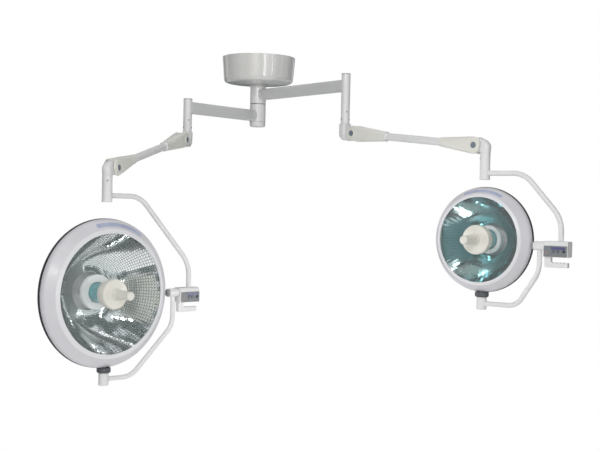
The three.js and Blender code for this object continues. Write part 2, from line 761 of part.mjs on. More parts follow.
function buildHead(spec, stub) {
  const { name, head } = spec;
  const frame = place(stub, { position: [0, 0, head.rise], heading: head.turn });
  addPiece(frame, `${name}_head_collar`, headCollar(head), "dark");
  addPiece(frame, `${name}_rear_dome`, rearDome(head), "paint");
  addPiece(frame, `${name}_gasket`, gasket(head), "dark");
  addPiece(frame, `${name}_bezel`, bezel(head), "paint");
  addPiece(frame, `${name}_reflector`, reflector(head), "mirror");
  addPiece(frame, `${name}_front_glass`, frontGlass(head), "glass");
  addPiece(frame, `${name}_centre_housing`, centreHousing(), "ivory");
  addPiece(frame, `${name}_handle`, handle(), "ivory");
  addPiece(frame, `${name}_lamp_holder`, lampHolder(head), "ivory");
  addPiece(frame, `${name}_filter_glass`, filterGlass(head), "filter");
  addPiece(frame, `${name}_bulb`, bulb(head), "glass");
}

buildCeilingMount();
for (const spec of LIGHTS) {
  buildArm(spec);
  const yokeFrame = buildSpringArm(spec);
  const stub = buildYoke(spec, yokeFrame);
  buildHead(spec, stub);
}

export default light;
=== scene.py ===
"""The looks of a twin-head ceiling surgical light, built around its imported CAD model.

Every piece is drawn in millimetres in the frame of the joint it hangs on, then placed in metres.
"""

import json
import math
import random

import bmesh
import bpy
from mathutils import Matrix, Vector


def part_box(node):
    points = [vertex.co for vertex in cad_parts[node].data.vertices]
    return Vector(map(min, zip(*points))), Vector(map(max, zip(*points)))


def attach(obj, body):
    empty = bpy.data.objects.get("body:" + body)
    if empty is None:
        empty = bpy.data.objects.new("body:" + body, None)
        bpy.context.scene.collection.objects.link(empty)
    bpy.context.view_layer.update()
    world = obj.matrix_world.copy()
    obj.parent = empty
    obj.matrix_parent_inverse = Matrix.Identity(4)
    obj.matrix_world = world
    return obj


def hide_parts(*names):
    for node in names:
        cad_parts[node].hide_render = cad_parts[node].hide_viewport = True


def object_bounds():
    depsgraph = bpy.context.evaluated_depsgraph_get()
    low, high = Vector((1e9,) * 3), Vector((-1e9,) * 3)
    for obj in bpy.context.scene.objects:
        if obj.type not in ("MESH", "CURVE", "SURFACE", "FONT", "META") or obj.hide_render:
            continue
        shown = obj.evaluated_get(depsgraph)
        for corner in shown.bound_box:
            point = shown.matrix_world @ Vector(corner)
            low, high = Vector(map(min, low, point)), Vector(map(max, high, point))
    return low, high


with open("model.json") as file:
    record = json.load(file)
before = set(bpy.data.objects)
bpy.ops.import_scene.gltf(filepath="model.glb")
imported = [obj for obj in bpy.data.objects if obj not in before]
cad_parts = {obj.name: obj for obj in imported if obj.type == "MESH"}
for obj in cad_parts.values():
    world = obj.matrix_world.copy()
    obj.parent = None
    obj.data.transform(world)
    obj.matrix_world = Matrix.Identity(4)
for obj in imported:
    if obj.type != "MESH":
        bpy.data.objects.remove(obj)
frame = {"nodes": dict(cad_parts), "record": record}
CAD_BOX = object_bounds()

# ---- driving dimensions, millimetres

MM = 0.001
GAP = 0.3  # between neighbouring pieces that touch
WALL = 3  # sheet and shell thickness
FINE = 128  # sides of the large turned parts
ROUND = 56  # sides of ordinary turned parts
SMALL = 20  # sides of screws and other small parts
UP = Vector((0, 0, 1))
FACET_CROWN = 0.11  # how far the middle of a mirror facet stands above its edges
FACET_SCATTER = 0.07  # how far a facet's corners stray from the bowl's true curve

PLATE = {"radius": 150, "thickness": 12, "bolt_circle": 120, "bolt": 6, "cable": 20, "cable_offset": 62}
CANOPY = {"top": 212, "bottom": 200, "height": 148, "edge": 26, "hole": 69.6, "dish": 8}
COLLAR = {"radius": 69, "inner": 49, "top": -134, "shelf": 6, "bottom": -158}
SPINDLE = {"radius": 30, "bore": 20}
HUB = {"radius": 46, "bore": 31, "cap_top": -374.6, "bottom": -402, "rounding": 11, "dimple": 4}
ARM = {"half_height": 32.5, "half_width": 23.5}
ARM_WELD = ((-22, 4), (-2, 4), (5, 2.2), (11, 0.2))  # how far out from the sleeve, how far proud of the arm
DROP = {"radius": 23.5, "wall": 4.5, "cap": 14}
PIVOT = {"offset": 70, "collar": 24.4, "lobe": 36, "half_width": 20}
BEAM = {"length": 750, "tube": 19, "fork_start": 42, "fork_end": 92}
BEAM_ENDS = {
    "rear": Matrix.Identity(4),
    "front": Matrix.Translation((BEAM["length"], 0, 0)) @ Matrix.Rotation(math.pi, 4, "Z"),
}
COVER = {"length": 207, "half_height": 43, "half_width": 33, "tail": 31}
COVER |= {"mouth": 25.7, "swing": 38, "slot": 22, "fork": 23}
COVER_END = {"rear": 24.5, "front": 22.5}
CAP = {"radius": 17, "proud": 37.5}
ELBOW = {"offset": 47, "seam": -38}
YOKE = {"post": 24.3, "bottom": -165, "bow": -133.7, "tube": 12.2, "bend": 60}
BOX = {"length": 117, "back": 29, "front": 27, "top": 24, "bottom": -49}
PANEL = {"margin": 3, "bottom": -47, "top": 3, "thickness": 3}
DISPLAY = {"left": 40, "right": 106, "bottom": -14, "top": -2}
INDICATOR = {"radius": 3.2, "along": 18, "height": -31}
BUTTON = {"radius": 6.5, "foot": 22.5, "proud": 33.5, "height": -22, "places": (50, 70, 100)}
GRIP = {"post": 30, "bottom": -97, "bar_top": -72, "length": 112, "half_width": 12, "waves": 4, "wave": 2.2}
BOW = {"sleeve": 21, "sleeve_in": 27, "tube": 11.5, "bend": 45, "below_rim": 55}
POST = {"radius": 23.6, "below": 84, "top": 24, "collar": 33}
HEAD = {"rim_back": -22, "rim": 14, "opening": 0.81, "face": 60, "shoulder": 0.87, "shoulder_face": 52}
GASKET = {"thickness": 18, "height": 14, "proud": 1.5}
GLASS = {"front": 50, "thickness": 5, "hole": 41}
CENTRE = {"radius": 70, "front": 84, "nose": 93, "nose_radius": 30, "back": 18}
CENTRE |= {"neck": 40, "cavity": 54, "depth": 22}
HANDLE = {"base": 28, "end": 20.5, "length": 112, "rounding": 9}
CARRIER = {"filter": 47, "filter_wall": 3, "filter_front": 30, "bulb": 8, "bulb_front": 12}

LIGHTS = {
    "small": {
        "sleeve": (-144, -268.2),
        "drop": (-150, -418.5),
        "yoke": {"reach": 391, "knee_out": 203, "knee_drop": 209},
        "bow": {"reach": 289, "knee_out": 180, "knee_drop": 120},
        "screw": -150,  # heading of the grub screw in the yoke's post
        "box": 317,
        "dome": 150,
        "holder": 68,
        "holder_back": -78,
        "mirror_back": -104,
        "facets": (84, 20),
        "band": (62, 112),
    },
    "large": {
        "sleeve": (-271.8, -373.7),
        "drop": (-288, -470),
        "yoke": {"reach": 487, "knee_out": 186, "knee_drop": 330},
        "bow": {"reach": 392, "knee_out": 153, "knee_drop": 160},
        "screw": -120,
        "box": 420,
        "dome": 185,
        "holder": 84,
        "holder_back": -94,
        "mirror_back": -138,
        "facets": (112, 26),
        "band": (58, 104),
    },
}

# ---- the studio, in metres and degrees, with the lens in millimetres

ROOM = {"floor": -2.9, "radius": 2.6}
CAMERA = {"lens": 63.88, "position": (0.3032, -6.2312, -0.8728), "yaw": -0.38, "pitch": -0.89, "roll": 1.29}
ROOM_TONES = ((0.46, (0.045, 0.07, 0.065)), (0.55, (0.38, 0.40, 0.42)), (0.63, (0.95, 0.97, 1.0)))
# Soft white panels that only reflections show: heading from straight ahead, half width, colour.
SOFT_PANELS = ((34, 13, (1.0, 1.0, 1.0)), (-14, 11, (0.98, 0.96, 0.88)))

# ---- frames from the joints

JOINTS = {joint["name"]: joint for joint in frame["record"]["behaviour"]["joints"]}


def joint_at(name):
    return Vector(JOINTS[name]["pos_m"])


def joint_axis(name):
    return Vector(JOINTS[name]["axis"]).normalized()


def local_frame(origin, x_axis, z_axis=UP):
    """A frame in millimetres at origin, with X along x_axis and Z as near z_axis as it can be."""
    x = x_axis.normalized()
    y = z_axis.cross(x).normalized()
    z = x.cross(y)
    turn = Matrix((x, y, z)).transposed().to_4x4()
    return Matrix.Translation(origin) @ turn @ Matrix.Scale(MM, 4)


def lamp_frame(centre, forward):
    """The frame of a lamp's turned parts: Z is the way it faces and Y is up."""
    return local_frame(centre, UP.cross(forward), forward)


ROOT = Matrix.Scale(MM, 4)

# ---- outlines


def curve(before, corner, after, steps):
    """Points on a smooth curve that leaves before towards the corner and arrives at after."""
    shares = [step / steps for step in range(steps + 1)]
    return [before * (1 - t) ** 2 + corner * 2 * t * (1 - t) + after * t**2 for t in shares]


def rounded(points, closed=True, steps=6):
    """Corners as (x, z), or (x, z, setback) where a smooth curve begins that far from the corner."""
    result = []
    for i, point in enumerate(points):
        corner = Vector(point[:2])
        setback = point[2] if len(point) > 2 else 0
        at_end = not closed and i in (0, len(points) - 1)
        if setback == 0 or at_end:
            result.append(corner)
            continue
        previous = Vector(points[i - 1][:2])
        following = Vector(points[(i + 1) % len(points)][:2])
        before = corner + (previous - corner).normalized() * setback
        after = corner + (following - corner).normalized() * setback
        result += curve(before, corner, after, steps)
    return result


def rectangle(left, right, half):
    return rounded([(left, half), (right, half), (right, -half), (left, -half)])


def rounded_rectangle(left, right, low, high, setback):
    corners = ((left, high), (right, high), (right, low), (left, low))
    return rounded([(*corner, setback) for corner in corners])


def resampled(path, spacing):
    """The same path with a point at about every spacing."""
    result = [path[0]]
    for start, end in zip(path, path[1:]):
        count = max(1, math.ceil((end - start).length / spacing))
        for k in range(1, count + 1):
            result.append(start.lerp(end, k / count))
    return result


def smooth_step(t):
    t = max(0.0, min(1.0, t))
    return t * t * (3 - 2 * t)


# ---- bodies as (vertices, faces)


def skin(rings, closed=False):
    """Joins rings of points; an open row of rings gets a flat face at each end."""
    count = len(rings[0])
    verts = [point for ring in rings for point in ring]
    faces = []
    last = len(rings) if closed else len(rings) - 1
    for i in range(last):
        a = i * count
        b = ((i + 1) % len(rings)) * count
        for k in range(count):
            n = (k + 1) % count
            faces.append((a + k, a + n, b + n, b + k))
    if not closed:
        faces.append(tuple(reversed(range(count))))
        faces.append(tuple(range(len(verts) - count, len(verts))))
    return verts, faces


def turned(profile, sides=ROUND):
    """A turned body about Z from (radius, height) corners: on the axis at both ends, or a ring's outline."""
    on_axis = profile[0][0] == 0 and profile[-1][0] == 0
    outline = rounded(profile, closed=not on_axis)
    inner = outline[1:-1] if on_axis else outline
    rings = []
    for point in inner:
        angles = [2 * math.pi * k / sides for k in range(sides)]
        rings.append([Vector((point.x * math.cos(a), point.x * math.sin(a), point.y)) for a in angles])
    if not on_axis:
        return skin(rings, closed=True)
    verts, faces = skin(rings)
    faces = faces[:-2]
    for pole, ring in ((outline[0], 0), (outline[-1], len(verts) - sides)):
        verts.append(Vector((0, 0, pole.y)))
        for k in range(sides):
            faces.append((ring + k, ring + (k + 1) % sides, len(verts) - 1))
    return verts, faces


def rod(radius, low, high, edge=1, sides=ROUND):
    return turned([(0, low), (radius, low, edge), (radius, high, edge), (0, high)], sides)


def swept(path, sizes, sides=40):
    """A body along a path in the X-Z plane; sizes are (in-plane half, Y half, squareness) at each point."""
    rings = []
    for i, point in enumerate(path):
        ahead = path[min(i + 1, len(path) - 1)] - path[max(i - 1, 0)]
        side = Vector((-ahead.y, ahead.x)).normalized()
        half, width, squareness = sizes[i]
        ring = []
        for k in range(sides):
            angle = 2 * math.pi * (k + 0.5) / sides
            c, s = math.cos(angle), math.sin(angle)
            u = half * math.copysign(abs(c) ** (2 / squareness), c)
            v = width * math.copysign(abs(s) ** (2 / squareness), s)
            ring.append(Vector((point.x + side.x * u, v, point.y + side.y * u)))
        rings.append(ring)
    return skin(rings)


def bent_tube(corners, radius):
    path = resampled(rounded(corners, closed=False, steps=12), 30)
    return swept(path, [(radius, radius, 2)] * len(path), sides=32)


def slab(outline, y):
    """An outline in the X-Z plane, as wide as y says."""
    return skin([[Vector((p.x, side, p.y)) for p in outline] for side in y])


def slab_along(outline, x):
    """An outline in the Y-Z plane, as long as x says."""
    return skin([[Vector((at, p.x, p.y)) for p in outline] for at in x])


def moved(body, matrix):
    verts, faces = body
    return [matrix @ point for point in verts], faces


def shifted(body, x=0, y=0, z=0):
    return moved(body, Matrix.Translation((x, y, z)))


def along_x(body):
    """A Z-axis body laid along +X."""
    return moved(body, Matrix.Rotation(math.pi / 2, 4, "Y"))


def along_y(body):
    """A Z-axis body laid along -Y."""
    return moved(body, Matrix.Rotation(math.pi / 2, 4, "X"))


def screw_head(radius, height):
    """A small round screw head with a hexagon recess, standing on Z = 0."""
    angles = [2 * math.pi * k / 24 for k in range(24)]
    across = [1 / max(math.cos(a - math.pi / 3 * round(3 * a / math.pi)), 0.1) for a in angles]
    levels = (
        [(radius, -2, False), (radius, height * 0.6, False), (radius * 0.86, height, False)]
        + [(radius * 0.46, height, True), (radius * 0.44, height * 0.1, True)]
    )
    rings = []
    for size, z, hexagonal in levels:
        reach = [size * (share if hexagonal else 1) for share in across]
        rings.append([Vector((r * math.cos(a), r * math.sin(a), z)) for r, a in zip(reach, angles)])
    return skin(rings)


# ---- objects


def mesh_object(name, bodies, matrix, bevel=0):
    """One object from closed bodies in a local frame, its sharp edges rounded by bevel millimetres."""
    made = bmesh.new()
    for verts, faces in bodies:
        corners = [made.verts.new(point) for point in verts]
        for face in faces:
            made.faces.new([corners[k] for k in face])
    bmesh.ops.recalc_face_normals(made, faces=made.faces)
    if bevel:
        sharp = [e for e in made.edges if e.calc_face_angle(0) > math.radians(28)]
        bmesh.ops.bevel(
            made, geom=sharp, offset=bevel, segments=4, profile=0.5, affect="EDGES", clamp_overlap=True
        )
    made.transform(matrix)
    mesh = bpy.data.meshes.new(name)
    made.to_mesh(mesh)
    made.free()
    obj = bpy.data.objects.new(name, mesh)
    bpy.context.collection.objects.link(obj)
    return obj


def make_smooth(obj, angle=40):
    obj.data.shade_smooth()
    obj.data.set_sharp_from_angle(angle=math.radians(angle))
    normals = obj.modifiers.new("even_normals", "WEIGHTED_NORMAL")
    normals.keep_sharp = True


def cut_away(obj, bodies, matrix):
    """Takes closed bodies out of an object's mesh."""
    cutter = mesh_object(obj.name + "_cutter", bodies, matrix)
    modifier = obj.modifiers.new("cut", "BOOLEAN")
    modifier.operation = "DIFFERENCE"
    modifier.solver = "EXACT"
    modifier.use_self = True
    modifier.object = cutter
    depsgraph = bpy.context.evaluated_depsgraph_get()
    result = bpy.data.meshes.new_from_object(obj.evaluated_get(depsgraph))
    obj.modifiers.clear()
    obj.data = result
    bpy.data.objects.remove(cutter)


def piece(name, bodies, matrix, body, material, slot, replaces=None, bevel=0, smooth=True, cuts=()):
    """One visible piece; each entry of cuts is a list of bodies that are taken out of it together."""
    obj = mesh_object(name, bodies, matrix, bevel)
    for cutters in cuts:
        cut_away(obj, cutters, matrix)
    if smooth:
        make_smooth(obj)
    obj.data.materials.append(material)
    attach(obj, body)
    if replaces:
        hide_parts(replaces)
    return obj


def side_piece(side, name, bodies, matrix, body, material, slot, replaces=None, **finish):
    """A piece of one side of the light: its own, its body's and its node's name begin with the side."""
    node = f"{side}_{replaces}" if replaces else None
    return piece(f"{side}_{name}", bodies, matrix, f"{side}_{body}", material, slot, node, **finish)


# ---- materials


def blank_material(name):
    material = bpy.data.materials.new(name)
    material.use_nodes = True
    tree = material.node_tree
    return material, tree, tree.nodes["Principled BSDF"]


def texture_space(tree, scale=(1, 1, 1)):
    """The piece's own coordinates, in metres, stretched by scale."""
    coordinates = tree.nodes.new("ShaderNodeTexCoord")
    mapping = tree.nodes.new("ShaderNodeMapping")
    mapping.inputs["Scale"].default_value = scale
    tree.links.new(coordinates.outputs["Object"], mapping.inputs["Vector"])
    return mapping.outputs["Vector"]


def noise(tree, space, scale, detail=3.0):
    node = tree.nodes.new("ShaderNodeTexNoise")
    node.inputs["Scale"].default_value = scale
    node.inputs["Detail"].default_value = detail
    tree.links.new(space, node.inputs["Vector"])
    return node.outputs["Fac"]


def mapped(tree, value, low, high, start=0.3, end=0.7):
    node = tree.nodes.new("ShaderNodeMapRange")
    node.inputs["From Min"].default_value = start
    node.inputs["From Max"].default_value = end
    node.inputs["To Min"].default_value = low
    node.inputs["To Max"].default_value = high
    tree.links.new(value, node.inputs["Value"])
    return node.outputs["Result"]


def plug(tree, socket, value):
    """Sets a plain colour on a socket, or links a node's output to it."""
    if isinstance(value, tuple):
        socket.default_value = (*value, 1)
    else:
        tree.links.new(value, socket)


def mixed_colour(tree, factor, first, second):
    """From first at 0 to second at 1; each is a plain colour or a node's output."""
    node = tree.nodes.new("ShaderNodeMix")
    node.data_type = "RGBA"
    plug(tree, node.inputs["A"], first)
    plug(tree, node.inputs["B"], second)
    tree.links.new(factor, node.inputs["Factor"])
    return node.outputs["Result"]


def mesh_value(tree, name):
    """A value stored on the mesh's points under this name."""
    node = tree.nodes.new("ShaderNodeAttribute")
    node.attribute_name = name
    return node.outputs["Fac"]


def add_bump(tree, shader, height, strength, distance):
    node = tree.nodes.new("ShaderNodeBump")
    node.inputs["Strength"].default_value = strength
    node.inputs["Distance"].default_value = distance
    tree.links.new(height, node.inputs["Height"])
    tree.links.new(node.outputs["Normal"], shader.inputs["Normal"])


def scaled(colour, factor):
    return tuple(min(1.0, channel * factor) for channel in colour)


def coated(
    name, colour, roughness=0.32, variation=0.03, mottle=7, grain=700, bump=0.12, coat=0.0, metallic=0.0
):
    """Paint or moulded plastic: slow colour drift, uneven gloss and a fine orange-peel or grain bump."""
    material, tree, shader = blank_material(name)
    space = texture_space(tree)
    drift = mapped(tree, noise(tree, space, mottle), 0, 1)
    low, high = scaled(colour, 1 - variation), scaled(colour, 1 + variation)
    tree.links.new(mixed_colour(tree, drift, low, high), shader.inputs["Base Color"])
    handling = noise(tree, space, 35, 5.0)
    gloss = mapped(tree, handling, roughness * 0.85, roughness * 1.2)
    tree.links.new(gloss, shader.inputs["Roughness"])
    add_bump(tree, shader, noise(tree, space, grain, 2.0), bump, 0.0004)
    shader.inputs["Metallic"].default_value = metallic
    shader.inputs["Coat Weight"].default_value = coat
    shader.inputs["Coat Roughness"].default_value = 0.08
    return material


def brushed_metal(name, colour, roughness=0.3, stretch=(1, 1, 40)):
    """Machined metal with fine lines across the stretched axis."""
    material, tree, shader = blank_material(name)
    lines = noise(tree, texture_space(tree, stretch), 60, 6.0)
    tone = mixed_colour(tree, mapped(tree, lines, 0, 1), scaled(colour, 0.85), scaled(colour, 1.1))
    tree.links.new(tone, shader.inputs["Base Color"])
    tree.links.new(mapped(tree, lines, roughness * 0.7, roughness * 1.3), shader.inputs["Roughness"])
    add_bump(tree, shader, lines, 0.08, 0.0002)
    shader.inputs["Metallic"].default_value = 1
    return material


def spangled_zinc():
    """Hot-dip galvanised sheet: crystal patches that differ in tone and gloss."""
    material, tree, shader = blank_material("galvanised_zinc")
    cells = tree.nodes.new("ShaderNodeTexVoronoi")
    cells.inputs["Scale"].default_value = 110
    tree.links.new(texture_space(tree), cells.inputs["Vector"])
    tone = tree.nodes.new("ShaderNodeSeparateColor")
    tree.links.new(cells.outputs["Color"], tone.inputs["Color"])
    patches = mixed_colour(tree, tone.outputs["Red"], (0.42, 0.43, 0.45), (0.62, 0.63, 0.65))
    tree.links.new(patches, shader.inputs["Base Color"])
    gloss = mapped(tree, tone.outputs["Green"], 0.32, 0.55, 0, 1)
    tree.links.new(gloss, shader.inputs["Roughness"])
    shader.inputs["Metallic"].default_value = 0.9
    return material


def mirror_coating(name, colour, near_colour, near, far):
    """Vacuum-coated mirror: its tint drifts from near_colour beside the bulb, and painted shade darkens it
    along the facet seams.
    """
    material, tree, shader = blank_material(name)
    tint = mapped(tree, mesh_value(tree, "reach"), 0, 1, near, far)
    bright = mixed_colour(tree, tint, near_colour, colour)
    # painted shade: the colour goes part way towards near-black along the facet seams, standing for the shade
    # in the grooves between facets
    seam_shade = mapped(tree, mesh_value(tree, "seam"), 0, 0.6, 0.78, 0.98)
    tree.links.new(mixed_colour(tree, seam_shade, bright, (0.05, 0.06, 0.06)), shader.inputs["Base Color"])
    haze = noise(tree, texture_space(tree), 25, 4.0)
    tree.links.new(mapped(tree, haze, 0.03, 0.07), shader.inputs["Roughness"])
    shader.inputs["Metallic"].default_value = 1
    return material


def clear_glass(name, colour, opacity, roughness=0.03):
    """Thin clear or coated glass with a faint tint variation."""
    material, tree, shader = blank_material(name)
    drift = mapped(tree, noise(tree, texture_space(tree), 12), 0, 1)
    tree.links.new(mixed_colour(tree, drift, colour, scaled(colour, 1.12)), shader.inputs["Base Color"])
    shader.inputs["Roughness"].default_value = roughness
    shader.inputs["Alpha"].default_value = opacity
    shader.inputs["IOR"].default_value = 1.5
    return material


def display_window():
    """A dark violet display behind a smooth membrane, with faint rows that carry no sign."""
    material, tree, shader = blank_material("display_window")
    rows = noise(tree, texture_space(tree, (1, 1, 9)), 140, 1.0)
    tone = mixed_colour(tree, mapped(tree, rows, 0, 1), (0.075, 0.07, 0.17), (0.16, 0.155, 0.30))
    tree.links.new(tone, shader.inputs["Base Color"])
    shader.inputs["Roughness"].default_value = 0.18
    return material


WHITE = coated("white_paint", (0.78, 0.78, 0.775), 0.36, bump=0.04, coat=0.08)
CANOPY_WHITE = coated("canopy_paint", (0.74, 0.735, 0.71), 0.24, coat=0.6, mottle=4)
ARM_GREY = coated("arm_paint", (0.64, 0.645, 0.64), 0.36, grain=900, bump=0.2)
COVER_WHITE = coated("cover_plastic", (0.79, 0.785, 0.725), 0.42, grain=1300, bump=0.2)
BEZEL = coated("bezel_paint", (0.66, 0.655, 0.68), 0.38, coat=0.06, mottle=5)
# painted light: a brighter copy of the bezel paint, for the flat inner face that catches the light
LIT_BEZEL_FACE = coated("bezel_face_painted_light", (0.76, 0.76, 0.78), 0.34, mottle=5)
BAND = coated("bezel_band_film", (0.42, 0.46, 0.62), 0.35, variation=0.12, mottle=30)
DOME = coated("dome_paint", (0.76, 0.76, 0.77), 0.34, coat=0.2, mottle=4)
RUBBER = coated("gasket_rubber", (0.022, 0.024, 0.032), 0.62, 0.2, 20, 1500, 0.4)
DARK_PLASTIC = coated("dark_plastic", (0.085, 0.09, 0.10), 0.42, 0.12, 20, 1200, 0.3)
BUSHING = coated("bushing_grey", (0.40, 0.40, 0.41), 0.34, 0.06, 20, 1200, 0.2, metallic=0.4)
PANEL_BLUE = coated("membrane_panel", (0.20, 0.215, 0.225), 0.42, 0.06, 30, 2200, 0.3)
BUTTON_GREY = coated("button_plastic", (0.14, 0.155, 0.18), 0.38, 0.04, 30, 1500, 0.2)
BUTTON_DARK = coated("dark_button_plastic", (0.05, 0.055, 0.07), 0.35, 0.1, 30, 1500, 0.2)
DISPLAY_WINDOW = display_window()
LAMP_AMBER = coated("indicator_amber", (0.75, 0.30, 0.12), 0.25, 0.05, 60, 1500, 0.1)
CAP_BLUE = coated("pivot_cap_plastic", (0.18, 0.22, 0.26), 0.4, 0.08, 40, 1500, 0.3)
IVORY = coated("ivory_plastic", (0.76, 0.745, 0.67), 0.36, 0.025, 8, 1400, 0.2)
HOLDER_WHITE = coated("holder_ceramic", (0.84, 0.845, 0.83), 0.3, 0.03, 12, 1200, 0.15)
ZINC = spangled_zinc()
STEEL = brushed_metal("ground_steel", (0.60, 0.61, 0.62))
SCREW_STEEL = coated("screw_black_oxide", (0.03, 0.03, 0.034), 0.5, 0.2, 60, 1500, 0.2)
MIRRORS = {
    "small": mirror_coating("small_mirror", (0.74, 0.80, 0.80), (0.14, 0.48, 0.52), 0.45, 0.8),
    "large": mirror_coating("large_mirror", (0.80, 0.82, 0.82), (0.62, 0.72, 0.70), 0.1, 0.6),
}
FRONT_GLASS = clear_glass("front_glass", (0.75, 0.84, 0.83), 0.07)
FILTER_GLASS = clear_glass("heat_filter_glass", (0.10, 0.42, 0.46), 0.72, 0.08)
BULB_GLASS = clear_glass("bulb_glass", (0.70, 0.82, 0.84), 0.45)

# ---- ceiling mount


def build_ceiling_plate():
    radius, thickness = PLATE["radius"], PLATE["thickness"]
    disc = turned([(0, -thickness), (radius, -thickness, 1.5), (radius, 0, 1), (0, 0)], FINE)
    holes = [shifted(rod(PLATE["cable"], -20, 8), y=PLATE["cable_offset"])]
    for heading in (45, 135, 225, 315):
        x = PLATE["bolt_circle"] * math.cos(math.radians(heading))
        y = PLATE["bolt_circle"] * math.sin(math.radians(heading))
        holes.append(shifted(rod(PLATE["bolt"], -20, 8, sides=SMALL), x, y))
    piece("mount_plate", [disc], ROOT, "ceiling_mount", ZINC, "galvanised", "ceiling_plate", cuts=[holes])


def build_canopy():
    """The drum-shaped cover against the ceiling and the collar that closes it round the spindle."""
    top, bottom, height, edge = CANOPY["top"], CANOPY["bottom"], CANOPY["height"], CANOPY["edge"]
    hole, low = CANOPY["hole"], -height - CANOPY["dish"]
    outside = [(top, -GAP, 1), (bottom, -height, edge), (hole, low, 1)]
    inside = [(hole, low + WALL), (bottom - WALL, WALL - height, edge - 2), (top - WALL, -GAP, 1)]
    shell = turned([*outside, *inside], FINE)
    piece("canopy_shell", [shell], ROOT, "ceiling_mount", CANOPY_WHITE, "paint", "canopy_cover")
    outer, inner, bore = COLLAR["radius"], COLLAR["inner"], SPINDLE["radius"] + GAP
    top, bottom = COLLAR["top"], COLLAR["bottom"]
    shelf = top - COLLAR["shelf"]
    ring = [(outer, top), (outer, bottom, 4), (inner, bottom, 1.5), (inner, shelf)]
    ring += [(bore, shelf), (bore, top)]
    piece("canopy_ring", [turned(ring)], ROOT, "ceiling_mount", CANOPY_WHITE, "paint", "canopy_collar")


def build_hub_cap():
    """The rounded bottom cap with a small dimple, and its plug in the spindle's bore."""
    radius, bottom, top, dimple = HUB["radius"], HUB["bottom"], HUB["cap_top"], HUB["dimple"]
    plug = SPINDLE["bore"] - GAP
    cap = [(0, bottom + dimple), (dimple, bottom + dimple), (dimple + 1, bottom, 0.6)]
    cap += [(radius, bottom, HUB["rounding"]), (radius, top, 1), (plug, top), (plug, top + 20), (0, top + 20)]
    piece("hub_cap", [turned(cap)], ROOT, "ceiling_mount", WHITE, "paint", "hub_end_cap")


# ---- extension arm and drop tube


def build_extension_arm(side, spec):
    """A sleeve on the spindle and the arm's tall rounded tube, welded to it."""
    swing, end = joint_at(side + "_arm_swing"), joint_at(side + "_swivel")
    hub, bore = HUB["radius"], HUB["bore"]
    high, low = spec["sleeve"]
    sleeve = turned([(hub, low, 1.2), (hub, high, 1.2), (bore, high), (bore, low)])
    side_piece(side, "arm_sleeve", [sleeve], ROOT, "arm", WHITE, "paint")

    reach = Vector((end.x, end.y, 0))
    length = reach.length / MM
    matrix = local_frame(Vector((0, 0, swing.z)), reach)
    tall, wide = ARM["half_height"], ARM["half_width"]
    path = [Vector((x, 0)) for x in (hub - 14, hub, 60, length / 2, length - 14)]
    tube = swept(path, [(tall, wide, 2.6)] * len(path), 64)
    side_piece(side, "arm_tube", [tube], matrix, "arm", ARM_GREY, "arm_paint", "extension_arm")
    path = [Vector((hub + out, 0)) for out, _ in ARM_WELD]
    weld = swept(path, [(tall + proud, wide + proud, 2.4) for _, proud in ARM_WELD], 64)
    side_piece(side, "arm_weld", [weld], matrix, "arm", ARM_GREY, "arm_paint")


def build_drop_tube(side, spec):
    """The plumb pipe at the arm's end, its grey top cap and its grub screws."""
    end = joint_at(side + "_swivel")
    top, bottom = spec["drop"]
    outer, inner, closed = DROP["radius"], DROP["radius"] - DROP["wall"], top - DROP["cap"]
    matrix = Matrix.Translation((end.x, end.y, 0)) @ ROOT
    wall = [(0, top - 4), (outer, top - 4, 1), (outer, bottom, 1)]
    wall += [(inner, bottom, 1), (inner, closed), (0, closed)]
    side_piece(side, "drop_pipe", [turned(wall)], matrix, "arm", WHITE, "arm_paint", "drop_tube")
    rim = outer + 0.7
    cap = turned([(0, top - 8), (rim, top - 8, 0.8), (rim, top - 3.5, 2.2), (0, top)])
    side_piece(side, "drop_cap", [cap], matrix, "arm", BUSHING, "arm_paint")
    places = [(bottom + 62, -70), (bottom + 22, -20), (bottom + 24, -150)]
    build_grub_screws(side, "arm", matrix, outer, places)


def build_grub_screws(side, body, matrix, radius, places):
    """Small dark screws round a post: each place is a height and a heading in degrees."""
    screws = []
    for height, heading in places:
        stand = Matrix.Rotation(math.radians(heading), 4, "Z") @ Matrix.Translation((radius - 0.3, 0, height))
        screws.append(moved(along_x(screw_head(3.8, 1.2)), stand))
    side_piece(side, f"{body}_grub_screws", screws, matrix, body, SCREW_STEEL, "dark")


def fillet(inner, low, high):
    """A weld ring round a tube; low and high are the (radius, height) corners of its outer face."""
    return turned([(inner, low[1]), (*low, 1), (*high, 1), (inner, high[1])], 32)


# ---- spring arm


def pivot_eye():
    """The round end of a pivot block, about the pivot's own axis."""
    return along_y(rod(PIVOT["lobe"], -PIVOT["half_width"], PIVOT["half_width"], 3))


def morphing_sizes(path, first, last):
    """Section sizes that pass smoothly from first to last along a path."""
    total = sum((b - a).length for a, b in zip(path, path[1:]))
    sizes, run = [], 0.0
    for i, point in enumerate(path):
        if i:
            run += (point - path[i - 1]).length
        t = smooth_step(run / total)
        sizes.append(tuple(a + (b - a) * t for a, b in zip(first, last)))
    return sizes


def build_knuckle(side, spec, matrix):
    """The block below the drop tube: an upright sleeve with a round heel, and the rear pivot's eye."""
    top = spec["drop"][1] - joint_at(side + "_lift").z / MM - GAP
    post, collar, lobe, half = -PIVOT["offset"], PIVOT["collar"], PIVOT["lobe"], PIVOT["half_width"]
    outline = [(post - collar, top), (post - collar, -lobe, 46), (-2, -lobe), (-2, lobe, 2)]
    outline += [(post + collar, lobe + 2, 8), (post + collar, top)]
    block = slab(rounded(outline, steps=10), (-half, half))
    sleeve = shifted(rod(collar, -8, top), x=post)
    bodies = [block, sleeve, shifted(half_ball(collar), x=post, z=-8), pivot_eye()]
    side_piece(side, "knuckle_block", bodies, matrix, "knuckle", WHITE, "paint", "knuckle")


def half_ball(radius):
    """The lower half of a ball."""
    angles = [math.pi / 16 * k for k in range(9)]
    return turned([*((radius * math.sin(a), -radius * math.cos(a)) for a in angles), (0, 0)])


